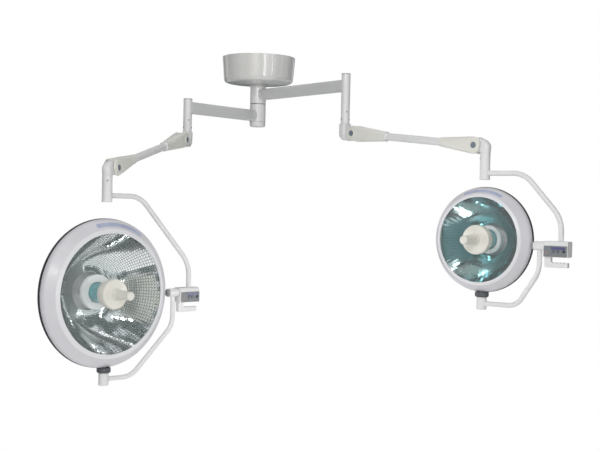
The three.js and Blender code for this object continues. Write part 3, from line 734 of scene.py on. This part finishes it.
def build_elbow(side, matrix):
    """The block on the front pivot, which bends down and narrows to the yoke's post."""
    offset, post, half = ELBOW["offset"], YOKE["post"], PIVOT["half_width"]
    before, corner, after = Vector((offset - 32, 0)), Vector((offset, 0)), Vector((offset, -14))
    path = [Vector((0, 0)), *curve(before, corner, after, 14), Vector((offset, ELBOW["seam"]))]
    sizes = morphing_sizes(path, (PIVOT["lobe"] - 1, half + 1, 4), (post, post, 2))
    bodies = [swept(path, sizes, 64), pivot_eye()]
    side_piece(side, "elbow_block", bodies, matrix, "elbow", WHITE, "paint", "elbow")


def fork():
    """The two cheeks that hold a pivot pin between them, and the block that joins them."""
    inner, outer = PIVOT["half_width"] + 1, PIVOT["half_width"] + 5
    start, end = BEAM["fork_start"], BEAM["fork_end"]
    cheek = rounded([(-22, 22, 20), (end, 17), (end, -17), (-22, -22, 20)])
    block = rounded([(start, 18), (end, 17), (end, -17), (start, -18)])
    return [slab(cheek, (inner, outer)), slab(cheek, (-outer, -inner)), slab(block, (-outer, outer))]


def build_beam(side, matrix):
    start = BEAM["fork_end"] - 6
    bodies = [along_x(rod(BEAM["tube"], start, BEAM["length"] - start))]
    for turn in BEAM_ENDS.values():
        bodies += [moved(part, turn) for part in fork()]
    side_piece(side, "beam_tube", bodies, matrix, "spring_arm", WHITE, "paint", "spring_arm_tube")
    for end, turn in BEAM_ENDS.items():
        build_cover(side, end, matrix @ turn)


def cover_size(x, end_half):
    """Half height, half width and squareness of a cover's section at x from its pivot."""
    share = max(x, 0) / COVER["length"]
    t = smooth_step(share)
    height = COVER["half_height"] + (end_half - COVER["half_height"]) * share
    width = COVER["half_width"] + (end_half - COVER["half_width"]) * t
    if x < 0:
        height *= math.sqrt(max(1 - (x / COVER["tail"]) ** 2, 0.0)) * 0.94 + 0.06
    return height, width, 5.5 - 3.3 * t


def build_cover(side, end, matrix):
    """A tapered shell over one pivot, open at the pivot end where the neighbouring block swings."""
    tail, length, mouth, tube = COVER["tail"], COVER["length"], COVER["mouth"], BEAM["tube"]
    stations = [-tail * math.cos(math.radians(a)) for a in range(0, 90, 9)]
    stations += [length * k / 16 for k in range(17)]
    path = [Vector((x, 0)) for x in stations]
    shell = swept(path, [cover_size(x, COVER_END[end]) for x in stations], 64)
    cutters = [
        slab(rectangle(-60, COVER["slot"], 60), (-mouth, mouth)),
        slab(rectangle(0, BEAM["fork_end"] + 2, COVER["fork"]), (-mouth, mouth)),
        along_y(rod(COVER["swing"], -mouth, mouth, 0.1)),
        along_x(rod(tube + GAP, 60, length + 10, 0.1)),
    ]
    cuts = [[cutter] for cutter in cutters]
    name, body = f"{end}_shell", "spring_arm"
    side_piece(side, name, [shell], matrix, body, COVER_WHITE, "cover", f"{end}_cover", cuts=cuts)
    build_pivot_caps(side, end, matrix)
    if end == "rear":
        inner, outer = tube + 0.2, COVER_END[end] + 1
        lip = turned([(inner, -4), (outer, -4, 1), (outer, 5, 2), (inner, 5)])
        side_piece(side, "rear_lip", [shifted(along_x(lip), x=length)], matrix, body, WHITE, "cover")


def build_pivot_caps(side, end, matrix):
    """A round cap over each end of the pivot pin, in a thin lighter rim."""
    radius, proud, foot = CAP["radius"], CAP["proud"], COVER["half_width"] - 3
    inner = radius - 2.2
    rim = turned([(radius - 2, foot), (radius, foot), (radius, proud - 1, 1), (radius - 2, proud - 1, 0.5)])
    disc = turned([(0, foot), (inner, foot), (inner, proud - 1.4, 1), (5, proud - 2), (0, proud - 2.6)])
    parts = (("rims", rim, COVER_WHITE, "cover"), ("discs", disc, CAP_BLUE, "dark"))
    for name, part, material, slot in parts:
        near = along_y(part)
        far = moved(near, Matrix.Rotation(math.pi, 4, "Z"))
        side_piece(side, f"{end}_cap_{name}", [near, far], matrix, "spring_arm", material, slot)


# ---- upper yoke and control box


def build_yoke(side, spec, matrix):
    """The post below the elbow and the bent tube that reaches round the head."""
    radius, foot, seam = YOKE["post"], YOKE["bottom"], ELBOW["seam"]
    post = [(0, foot), (radius + 0.6, foot, 2), (radius + 0.6, foot + 8, 3), (radius, foot + 14, 4)]
    post += [(radius, seam - GAP, 1), (0, seam - GAP)]
    stub = (joint_at(side + "_yoke_swivel").z - joint_at(side + "_bow_tilt").z) / MM
    reach, knee_out, knee_drop = (spec["yoke"][key] for key in ("reach", "knee_out", "knee_drop"))
    bow, bend, tube = YOKE["bow"], YOKE["bend"], YOKE["tube"]
    end = BOX["top"] - stub + GAP
    corners = [(8, bow), (knee_out, bow, bend), (reach, bow - knee_drop, bend), (reach, end)]
    bodies = [turned(post), bent_tube(corners, tube)]
    side_piece(side, "yoke_tube", bodies, matrix, "yoke", WHITE, "paint", "upper_yoke")
    weld = fillet(tube, (tube + 2.6, -3), (tube + 0.1, 4))
    side_piece(side, "yoke_weld", [shifted(along_x(weld), x=radius, z=bow)], matrix, "yoke", WHITE, "paint")
    build_grub_screws(side, "yoke", matrix, radius, [(seam - 26, spec["screw"])])


def build_control_box(side, spec, matrix):
    start = spec["box"]
    back, front, top, bottom = BOX["back"], BOX["front"], BOX["top"], BOX["bottom"]
    outline = [(back, top, 9), (back, bottom, 6), (-front, bottom, 3), (-front, PANEL["top"] + 3, 3)]
    shell = slab_along(rounded([*outline, (4 - front, top, 9)]), (start, start + BOX["length"]))
    finish = {"bevel": 2.2, "cuts": [button_holes(start, front - 8, front + 4)]}
    side_piece(side, "box_shell", [shell], matrix, "yoke", WHITE, "paint", "control_box", **finish)
    build_panel(side, start, matrix)
    build_buttons(side, start, matrix)
    build_grip(side, start, matrix)


def button_holes(start, low, high):
    """Cutting rods for the three button openings, low to high in front of the box's middle."""
    hole = along_y(rod(BUTTON["radius"] + 0.6, low, high, 0.1, 32))
    return [shifted(hole, x=start + place, z=BUTTON["height"]) for place in BUTTON["places"]]


def build_panel(side, start, matrix):
    """The membrane panel with its display strip and indicator lamp."""
    face = -BOX["front"] - GAP
    outer = face - PANEL["thickness"]
    left, right = start + PANEL["margin"], start + BOX["length"] - PANEL["margin"]
    plate = slab(rounded_rectangle(left, right, PANEL["bottom"], PANEL["top"], 4), (outer, face))
    finish = {"bevel": 0.6, "cuts": [button_holes(start, 20, 40)]}
    side_piece(side, "panel_plate", [plate], matrix, "yoke", PANEL_BLUE, "panel", "control_panel", **finish)
    left, right = start + DISPLAY["left"], start + DISPLAY["right"]
    outline = rounded_rectangle(left, right, DISPLAY["bottom"], DISPLAY["top"], 2)
    window = slab(outline, (outer - 0.5, outer + 1))
    side_piece(side, "display", [window], matrix, "yoke", DISPLAY_WINDOW, "panel", bevel=0.2)
    lamp = along_y(rod(INDICATOR["radius"], -outer - 1, -outer + 1.6, 1.2, SMALL))
    lamp = shifted(lamp, x=start + INDICATOR["along"], z=INDICATOR["height"])
    side_piece(side, "indicator", [lamp], matrix, "yoke", LAMP_AMBER, "button")


def build_buttons(side, start, matrix):
    """Three push buttons with dished faces; the one at the outer end is dark."""
    radius, foot, proud = BUTTON["radius"] - 0.2, BUTTON["foot"], BUTTON["proud"]
    dish = BUTTON["radius"] * 0.5
    outline = [(0, foot), (radius, foot, 0.5), (radius, proud, 1.2), (dish, proud - 0.3, 1), (0, proud - 0.9)]
    key = along_y(turned(outline, 32))
    for number, place in enumerate(BUTTON["places"], 1):
        name = f"button_{number}"
        material = BUTTON_DARK if number == 3 else BUTTON_GREY
        body = shifted(key, x=start + place, z=BUTTON["height"])
        side_piece(side, name + "_key", [body], matrix, name, material, "button", name)


def build_grip(side, start, matrix):
    """The L-shaped hand grip, with finger waves along the top of its bar."""
    length, bottom, bar_top, wave = GRIP["length"], GRIP["bottom"], GRIP["bar_top"], GRIP["wave"]
    top, end, post = BOX["bottom"] - GAP, start + length, start + GRIP["post"]
    outline = rounded([(start, top), (start, bottom, 8), (end, bottom, 5), (end, bar_top - 2, 3)])
    outline.pop()
    span = length - GRIP["post"] - 6
    steps = GRIP["waves"] * 12
    for i in range(steps + 1):
        rise = wave * math.cos(2 * math.pi * GRIP["waves"] * i / steps) - wave
        outline.append(Vector((end - 4 - span * i / steps, bar_top + rise)))
    outline += [Vector((post, bar_top + 6)), Vector((post, top))]
    bar = slab(outline, (-GRIP["half_width"], GRIP["half_width"]))
    side_piece(side, "grip_bar", [bar], matrix, "yoke", WHITE, "paint", "grip", bevel=4.5)


# ---- lower bow


def build_bow(side, spec, matrix, radius):
    """The sleeve on the stub shaft, the bent tube below the head, and the post that carries it."""
    rim = (joint_at(side + "_head_turn").z - joint_at(side + "_bow_tilt").z) / MM - radius
    run = rim - BOW["below_rim"]
    reach, knee_out, knee_drop = (spec["bow"][key] for key in ("reach", "knee_out", "knee_drop"))
    inner_end, outer_end = reach - BOW["sleeve_in"], spec["box"] - GAP
    sleeve = along_x(rod(BOW["sleeve"], inner_end, outer_end, 3))
    corners = [(reach, -6), (reach, -knee_drop, BOW["bend"]), (knee_out, run, BOW["bend"]), (6, run)]
    low, high = rim - POST["below"], rim - POST["top"] - GAP
    post = turned([(0, low), (POST["radius"], low, 5), (POST["radius"], high, 1.5), (0, high)])
    bodies = [sleeve, bent_tube(corners, BOW["tube"]), post, rod(9, high - 2, rim + 14)]
    side_piece(side, "bow_tube", bodies, matrix, "bow", WHITE, "paint", "lower_bow")
    bush = along_x(rod(BOW["sleeve"] - 1.5, inner_end - 8, inner_end + 2, 2.5))
    disc = along_x(rod(BOW["sleeve"] * 0.55, inner_end - 10, inner_end, 1.5))
    side_piece(side, "bow_bushing", [bush, disc], matrix, "bow", BUSHING, "paint")
    welds = [
        shifted(along_x(fillet(11, (14, -3), (11.7, 3.5))), x=POST["radius"], z=run),
        shifted(fillet(11, (11.7, -3.5), (14, 4)), x=reach, z=-BOW["sleeve"] - 1),
    ]
    side_piece(side, "bow_welds", welds, matrix, "bow", WHITE, "paint")


# ---- lamp head


def build_head(side, spec):
    """Everything that turns with the head; returns the rim's radius."""
    centre = joint_at(side + "_head_turn")
    matrix = lamp_frame(centre, joint_axis(side + "_handle_twist"))
    radius = (centre.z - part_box(side + "_head_collar")[1].z) / MM - GAP
    build_head_collar(side, centre, radius)
    build_rear_dome(side, spec, matrix, radius)
    build_gasket(side, matrix, radius)
    build_bezel(side, matrix, radius)
    build_bezel_band(side, spec, matrix, radius)
    build_reflector(side, spec, matrix, radius)
    build_front_glass(side, matrix, radius)
    build_centre(side, matrix)
    build_carrier(side, spec, matrix)
    return radius


def build_head_collar(side, centre, radius):
    """The two-step dark collar between the bow's post and the head's rim."""
    low, high, outer, bore = -radius - POST["top"], -radius - GAP, POST["collar"], 9.5
    outline = [(bore, low), (outer - 4, low, 1), (outer - 3, low + 3, 0.5), (outer, low + 4, 1)]
    collar = turned([*outline, (outer, high, 1), (bore, high)])
    matrix = Matrix.Translation(centre) @ ROOT
    side_piece(side, "rim_collar", [collar], matrix, "head", DARK_PLASTIC, "dark", "head_collar")


def dome_curve(edge, back, depth, shares):
    """Points of a dome's outline at these shares of the way from its middle to its edge."""
    return [(edge * share, back - depth * (1 - share**2.4)) for share in shares]


def build_rear_dome(side, spec, matrix, radius):
    """The spun back shell, with a pressed ring and a low boss."""
    back, depth, edge = HEAD["rim_back"], spec["dome"], radius - 4
    apex = back - depth
    shares = [k / 22 for k in range(1, 22)]
    outside = dome_curve(edge, back, depth, shares)
    inside = dome_curve(edge - WALL, back, depth - WALL, reversed(shares))
    lip = [(edge, back, 1), (edge - WALL, back)]
    shell = turned([(0, apex), *outside, *lip, *inside, (0, apex + WALL)], FINE)
    side_piece(side, "dome_shell", [shell], matrix, "head", DOME, "paint", "rear_dome")
    boss = [(0, apex - 0.2), (radius * 0.13, apex + 0.2, 1.5), (radius * 0.135, apex + 6), (0, apex + 6)]
    [(reach, height)] = dome_curve(edge, back, depth, [0.55])
    crest = [(reach - 4, height - 3.2), (reach, height - 2.4, 2), (reach + 5, height + 4)]
    bead = turned([*crest, (reach - 4, height + 4)], FINE)
    side_piece(side, "dome_beads", [turned(boss, FINE), bead], matrix, "head", DOME, "paint")


def build_gasket(side, matrix, radius):
    """The dark rubber ring between the dome and the bezel, a little proud of both."""
    outer = radius + GASKET["proud"]
    inner = outer - GASKET["height"]
    low = HEAD["rim_back"] + GAP
    high = low + GASKET["thickness"]
    ring = turned([(outer, low, 4), (outer, high, 1.5), (inner, high), (inner, low)], FINE)
    side_piece(side, "rim_gasket", [ring], matrix, "head", RUBBER, "dark", "gasket")


def build_bezel(side, matrix, radius):
    """The front casting: a sloped outer wall, and over its flat inner face a ring in a brighter copy of the
    same paint, painted light for the light that face catches.
    """
    back = HEAD["rim_back"] + GASKET["thickness"] + 2 * GAP
    opening, shoulder = radius * HEAD["opening"], radius * HEAD["shoulder"]
    face, shoulder_face, rim = HEAD["face"], HEAD["shoulder_face"], HEAD["rim"]
    outside = [(radius, back, 1.5), (radius, rim, 14), (shoulder, shoulder_face, 7), (opening, face, 2)]
    inside = [(opening, face - WALL), (shoulder - WALL, shoulder_face - WALL, 4)]
    inside += [(radius - WALL, rim - WALL, 8), (radius - WALL, back)]
    shell = turned([*outside, *inside], FINE)
    side_piece(side, "bezel_wall", [shell], matrix, "head", BEZEL, "paint", "bezel")
    start, inner, outer, lift = shoulder - 1, opening - 0.6, opening + 2, 0.5
    rise = shoulder_face + (face - shoulder_face) / (opening - shoulder) * (start - shoulder)
    ring = [(start, rise + lift, 0.4), (inner, face + lift, 1.2), (inner, face - 6, 1), (outer, face - 6)]
    ring += [(outer, face - 1.4), (start, rise - 1)]
    # painted light: this ring lies over the bezel's flat inner face in the brighter copy of its paint
    side_piece(side, "bezel_ring", [turned(ring, FINE)], matrix, "head", LIT_BEZEL_FACE, "paint")


def build_bezel_band(side, spec, matrix, radius):
    """A plain coloured film on the upper part of the sloped wall, following its curve."""
    out, along = radius * (HEAD["shoulder"] - 1), HEAD["shoulder_face"] - HEAD["rim"]
    first, last = spec["band"]
    rings = []
    for k in range(41):
        angle = math.radians(first + (last - first) * k / 40)
        ring = []
        for share, lift in ((0.40, 0.25), (0.40, 0.7), (0.78, 0.7), (0.78, 0.25)):
            reach = radius + out * share + lift * 0.65
            height = HEAD["rim"] + along * share + lift * 0.75
            ring.append(Vector((reach * math.cos(angle), reach * math.sin(angle), height)))
        rings.append(ring)
    side_piece(side, "bezel_band", [skin(rings)], matrix, "head", BAND, "paint")


def level_edges(rows, around):
    """Brings the middle of each facet edge level with, or half way towards, the middle of its corners."""
    for i, row in enumerate(rows):
        for k in range(around):
            if i % 2 == 0 and k % 2 == 1:
                row[k].z = (row[k - 1].z + row[(k + 1) % around].z) / 2
            elif i % 2 == 1 and k % 2 == 0:
                middle = (rows[i - 1][k].z + rows[i + 1][k].z) / 2
                row[k].z = row[k].z * 0.5 + middle * 0.5


def mirror_rows(spec, radius):
    """Rows of points on a bowl of pillowed facets, the rows behind them, and 1.0 for each point on a seam."""
    around, across = (2 * count for count in spec["facets"])
    inner, outer = spec["holder"] + 8, radius * 0.86
    back, front = spec["mirror_back"], HEAD["shoulder_face"] - 22
    scatter = random.Random(around)
    mirror, rear, seams = [], [], []
    for i in range(across + 1):
        share = i / across
        reach = inner + (outer - inner) * share
        height = back + (front - back) * share**1.9
        wide = reach + 1.2
        row, behind = [], []
        for k in range(around):
            angle = 2 * math.pi * k / around
            on_seam = i % 2 == 0 or k % 2 == 0
            at_corner = i % 2 == 0 and k % 2 == 0
            lift = scatter.uniform(-FACET_SCATTER, FACET_SCATTER) if at_corner else 0
            lift += 0 if on_seam else FACET_CROWN
            row.append(Vector((reach * math.cos(angle), reach * math.sin(angle), height + lift)))
            behind.append(Vector((wide * math.cos(angle), wide * math.sin(angle), height - WALL)))
            seams.append(1.0 if on_seam else 0.0)
        mirror.append(row)
        rear.append(behind)
    level_edges(mirror, around)
    return mirror, rear, seams


def build_reflector(side, spec, matrix, radius):
    """A bowl of small mirror facets, each a little out of line with its neighbours."""
    mirror, rear, seams = mirror_rows(spec, radius)
    bowl = skin([*mirror, *reversed(rear)], closed=True)
    coating = MIRRORS[side]
    obj = side_piece(side, "mirror", [bowl], matrix, "head", coating, "mirror", "reflector", smooth=False)
    mesh = obj.data
    mesh.shade_smooth()
    count = len(seams)
    for edge in mesh.edges:
        first, last = edge.vertices
        edge.use_edge_sharp = max(first, last) >= count or seams[first] == seams[last] == 1.0
    reach = mesh.attributes.new("reach", "FLOAT", "POINT")
    seam = mesh.attributes.new("seam", "FLOAT", "POINT")
    inverse = matrix.inverted()
    for vertex in mesh.vertices:
        local = inverse @ vertex.co
        reach.data[vertex.index].value = math.hypot(local.x, local.y) / radius
        seam.data[vertex.index].value = seams[vertex.index] if vertex.index < count else 0.0


def build_front_glass(side, matrix, radius):
    outer, hole = radius * HEAD["opening"] + 8, GLASS["hole"]
    front, back = GLASS["front"], GLASS["front"] - GLASS["thickness"]
    disc = turned([(outer, back), (outer, front), (hole, front), (hole, back)], FINE)
    side_piece(side, "cover_glass", [disc], matrix, "head", FRONT_GLASS, "glass", "front_glass")


def build_centre(side, matrix):
    """The ivory hub in the middle of the glass and the tapered, removable handle."""
    radius, front, nose, back = CENTRE["radius"], CENTRE["front"], CENTRE["nose"], CENTRE["back"]
    neck, cavity, floor = CENTRE["neck"], CENTRE["cavity"], back + CENTRE["depth"]
    glass_front = GLASS["front"] + GAP
    glass_back = GLASS["front"] - GLASS["thickness"] - GAP
    hub = [(0, nose), (CENTRE["nose_radius"], nose, 1), (radius - 3, front + 1, 3), (radius, front - 4, 2)]
    hub += [(radius, glass_front, 1), (neck, glass_front), (neck, glass_back), (cavity + 5, glass_back)]
    hub += [(cavity + 5, back, 1), (cavity, back), (cavity, floor), (0, floor)]
    side_piece(side, "hub_shell", [turned(hub, 96)], matrix, "head", IVORY, "ivory", "centre_housing")
    start, base, tip = nose + GAP, HANDLE["base"], HANDLE["end"]
    end = start + HANDLE["length"]
    grip = [(0, start), (base, start, 1), (base, start + 10, 3), (base - 4, start + 15, 3)]
    grip += [(tip + 0.6, end - 34, 2), (tip - 0.4, end - 32.4, 0.6), (tip + 0.2, end - 31, 0.6)]
    grip += [(tip, end, HANDLE["rounding"]), (0, end)]
    side_piece(side, "sterile_handle", [turned(grip)], matrix, "handle", IVORY, "ivory", "handle")


def build_carrier(side, spec, matrix):
    """The sliding carrier: a white dish with its stem and socket, the teal filter glass and the bulb."""
    body = "bulb_carrier"
    back, outer, inner = spec["holder_back"], spec["holder"], CARRIER["filter"] + 2
    stem, front, shelf, socket = HEAD["rim_back"] - spec["dome"] + 16, back + 32, back + 22, back + 52
    dish = [(0, stem), (20, stem, 1), (20, back - 10, 4), (outer - 10, back, 5), (outer, back + 8, 4)]
    dish += [(outer, front, 3), (inner, front, 3), (inner, shelf, 1), (10, shelf, 2)]
    dish += [(10, socket, 1), (0, socket)]
    side_piece(side, "holder_dish", [turned(dish, 96)], matrix, body, HOLDER_WHITE, "ivory", "lamp_holder")
    low, high = shelf + GAP, CARRIER["filter_front"]
    outer, inner = CARRIER["filter"], CARRIER["filter"] - CARRIER["filter_wall"]
    sleeve = turned([(outer, low, 0.5), (outer, high, 0.8), (inner, high, 0.8), (inner, low)], 96)
    side_piece(side, "filter_sleeve", [sleeve], matrix, body, FILTER_GLASS, "filter", "filter_glass")
    start, top, radius = socket + GAP, CARRIER["bulb_front"], CARRIER["bulb"]
    envelope = turned([(0, start), (radius, start, 1), (radius, top, 6), (0, top)], 32)
    side_piece(side, "bulb_envelope", [envelope], matrix, body, BULB_GLASS, "glass", "bulb")


# ---- one side of the light


def build_side(side, spec):
    build_extension_arm(side, spec)
    build_drop_tube(side, spec)
    lift, level, drop = (joint_at(f"{side}_{joint}") for joint in ("lift", "level", "swivel"))
    heading = Vector((lift.x - drop.x, lift.y - drop.y, 0))
    build_knuckle(side, spec, local_frame(lift, heading))
    build_beam(side, local_frame(lift, level - lift))
    build_elbow(side, local_frame(level, heading))
    bow_axis = joint_axis(side + "_bow_tilt")
    build_yoke(side, spec, local_frame(joint_at(side + "_yoke_swivel"), bow_axis))
    stub = local_frame(joint_at(side + "_bow_tilt"), bow_axis)
    build_control_box(side, spec, stub)
    radius = build_head(side, spec)
    build_bow(side, spec, stub, radius)


def paint_kept_nodes():
    """Procedural materials for the CAD nodes that stay: those behind the covers."""
    kept = {"spindle": STEEL, "hub_washer": DARK_PLASTIC}
    kept |= {side + "_balance_spring": STEEL for side in LIGHTS}
    for name, material in kept.items():
        node = frame["nodes"][name]
        node.data.materials.clear()
        node.data.materials.append(material)


# ---- studio


def build_floor():
    middle = (CAD_BOX[0] + CAD_BOX[1]) / 2
    place = Matrix.Translation((middle.x, middle.y, ROOM["floor"])) @ ROOT
    floor = mesh_object("studio_floor", [rod(ROOM["radius"] / MM, -20, 0, 2, FINE)], place)
    paint = coated("floor_paint", (0.86, 0.86, 0.86), 0.7, 0.01, 2, 300, 0.05)
    shader = paint.node_tree.nodes["Principled BSDF"]
    shader.inputs["Emission Color"].default_value = (1, 1, 1, 1)
    shader.inputs["Emission Strength"].default_value = 0.4
    floor.data.materials.append(paint)


def area_light(name, position, target, size, power, spread=180, in_reflections=True):
    lamp = bpy.data.lights.new(name, "AREA")
    lamp.shape = "RECTANGLE"
    lamp.size, lamp.size_y = size
    lamp.energy = power
    lamp.spread = math.radians(spread)
    obj = bpy.data.objects.new(name, lamp)
    obj.location = position
    obj.rotation_euler = (Vector(target) - Vector(position)).to_track_quat("-Z", "Y").to_euler()
    obj.visible_camera = False
    obj.visible_glossy = in_reflections
    bpy.context.collection.objects.link(obj)


def build_hub_light(side):
    """A narrow light beside a head that brightens the hub and handle, which the mirror shows."""
    centre = joint_at(side + "_head_turn")
    forward = joint_axis(side + "_handle_twist")
    across = UP.cross(forward) * (1 if side == "large" else -1)
    position = centre + (across * 0.8 + forward * 0.6) * 1.4
    area_light(side + "_hub_light", position, centre + forward * 0.08, (0.5, 0.5), 0.7, spread=60)


def build_lights():
    middle = (CAD_BOX[0] + CAD_BOX[1]) / 2
    area_light("key_softbox", (-0.6, -6.6, 0.9), middle, (1.5, 0.9), 116)
    area_light("fill_softbox", (2.4, -6.0, -0.6), middle, (0.8, 1.8), 28)
    area_light("left_strip", (-2.8, -3.4, 1.3), middle, (0.2, 2.4), 9)
    area_light("middle_strip", (0.5, -4.2, 1.9), middle, (2.8, 0.2), 22)
    area_light("low_strip", (-0.4, -4.2, -2.6), middle, (2.4, 0.15), 14)
    area_light("right_strip", (3.4, -3.2, 0.4), middle, (0.2, 2.0), 9)
    area_light("top_softbox", (0.3, -0.6, 2.6), middle, (3.0, 2.0), 24)
    area_light("rear_softbox", (0.5, 4.2, 0.8), middle, (3.0, 2.0), 75, in_reflections=False)
    for side in LIGHTS:
        build_hub_light(side)


def vector_maths(tree, operation, first, second=None):
    node = tree.nodes.new("ShaderNodeVectorMath")
    node.operation = operation
    tree.links.new(first, node.inputs[0])
    if second:
        node.inputs[1].default_value = second
    return node.outputs["Value" if operation == "DOT_PRODUCT" else "Vector"]


def tall_panel(tree, direction, heading, half_width):
    """How much of a tall soft panel stands in a direction; headings are degrees from -Y towards +X."""
    angle = math.radians(heading)
    flat = vector_maths(tree, "MULTIPLY", direction, (1, 1, 0.45))
    unit = vector_maths(tree, "NORMALIZE", flat)
    towards = vector_maths(tree, "DOT_PRODUCT", unit, (math.sin(angle), -math.cos(angle), 0))
    outside = math.cos(math.radians(half_width + 3))
    inside = math.cos(math.radians(half_width - 3))
    return mapped(tree, towards, 0, 1, outside, inside)


def room_reflections(tree):
    """What mirrors and gloss see: a dim room of uneven bright patches, and the soft panels."""
    direction = tree.nodes.new("ShaderNodeTexCoord").outputs["Generated"]
    ramp = tree.nodes.new("ShaderNodeValToRGB")
    stops = ramp.color_ramp.elements
    stops.new(ROOM_TONES[1][0])
    for stop, (position, colour) in zip(stops, ROOM_TONES):
        stop.position = position
        stop.color = (*colour, 1)
    tree.links.new(noise(tree, direction, 3.2, 1.0), ramp.inputs["Fac"])
    colour = ramp.outputs["Color"]
    for heading, half_width, tint in SOFT_PANELS:
        colour = mixed_colour(tree, tall_panel(tree, direction, heading, half_width), colour, tint)
    return colour


def background(tree, colour):
    node = tree.nodes.new("ShaderNodeBackground")
    plug(tree, node.inputs["Color"], colour)
    return node.outputs["Background"]


def build_world():
    """White behind the object, a soft grey room for light, and a patchy one for reflections."""
    world = bpy.data.worlds.new("studio")
    bpy.context.scene.world = world
    world.use_nodes = True
    tree = world.node_tree
    tree.nodes.clear()
    path = tree.nodes.new("ShaderNodeLightPath")
    seen = background(tree, (0.15, 0.15, 0.155))
    others = (("Is Glossy Ray", room_reflections(tree)), ("Is Camera Ray", (1.0, 1.0, 1.0)))
    for ray, colour in others:
        mix = tree.nodes.new("ShaderNodeMixShader")
        tree.links.new(path.outputs[ray], mix.inputs["Fac"])
        tree.links.new(seen, mix.inputs[1])
        tree.links.new(background(tree, colour), mix.inputs[2])
        seen = mix.outputs["Shader"]
    output = tree.nodes.new("ShaderNodeOutputWorld")
    tree.links.new(seen, output.inputs["Surface"])


def build_camera():
    """The viewing angle: a long lens from in front, nearly level, a little below the ceiling."""
    data = bpy.data.cameras.new("camera")
    data.lens, data.sensor_width = CAMERA["lens"], 36
    data.clip_start, data.clip_end = 0.05, 100
    camera = bpy.data.objects.new("camera", data)
    yaw, pitch, roll = (math.radians(CAMERA[turn]) for turn in ("yaw", "pitch", "roll"))
    forward = Vector((math.sin(yaw) * math.cos(pitch), math.cos(yaw) * math.cos(pitch), math.sin(pitch)))
    level = Vector((math.cos(yaw), -math.sin(yaw), 0))
    above = level.cross(forward)
    right = level * math.cos(roll) + above * math.sin(roll)
    up = above * math.cos(roll) - level * math.sin(roll)
    turn = Matrix((right, up, -forward)).transposed().to_4x4()
    camera.matrix_world = Matrix.Translation(CAMERA["position"]) @ turn
    bpy.context.collection.objects.link(camera)
    bpy.context.scene.camera = camera


def build_studio():
    build_floor()
    build_world()
    build_lights()
    build_camera()
    bpy.context.scene.view_settings.view_transform = "Standard"


build_ceiling_plate()
build_canopy()
build_hub_cap()
for side_name, side_spec in LIGHTS.items():
    build_side(side_name, side_spec)
paint_kept_nodes()
build_studio()
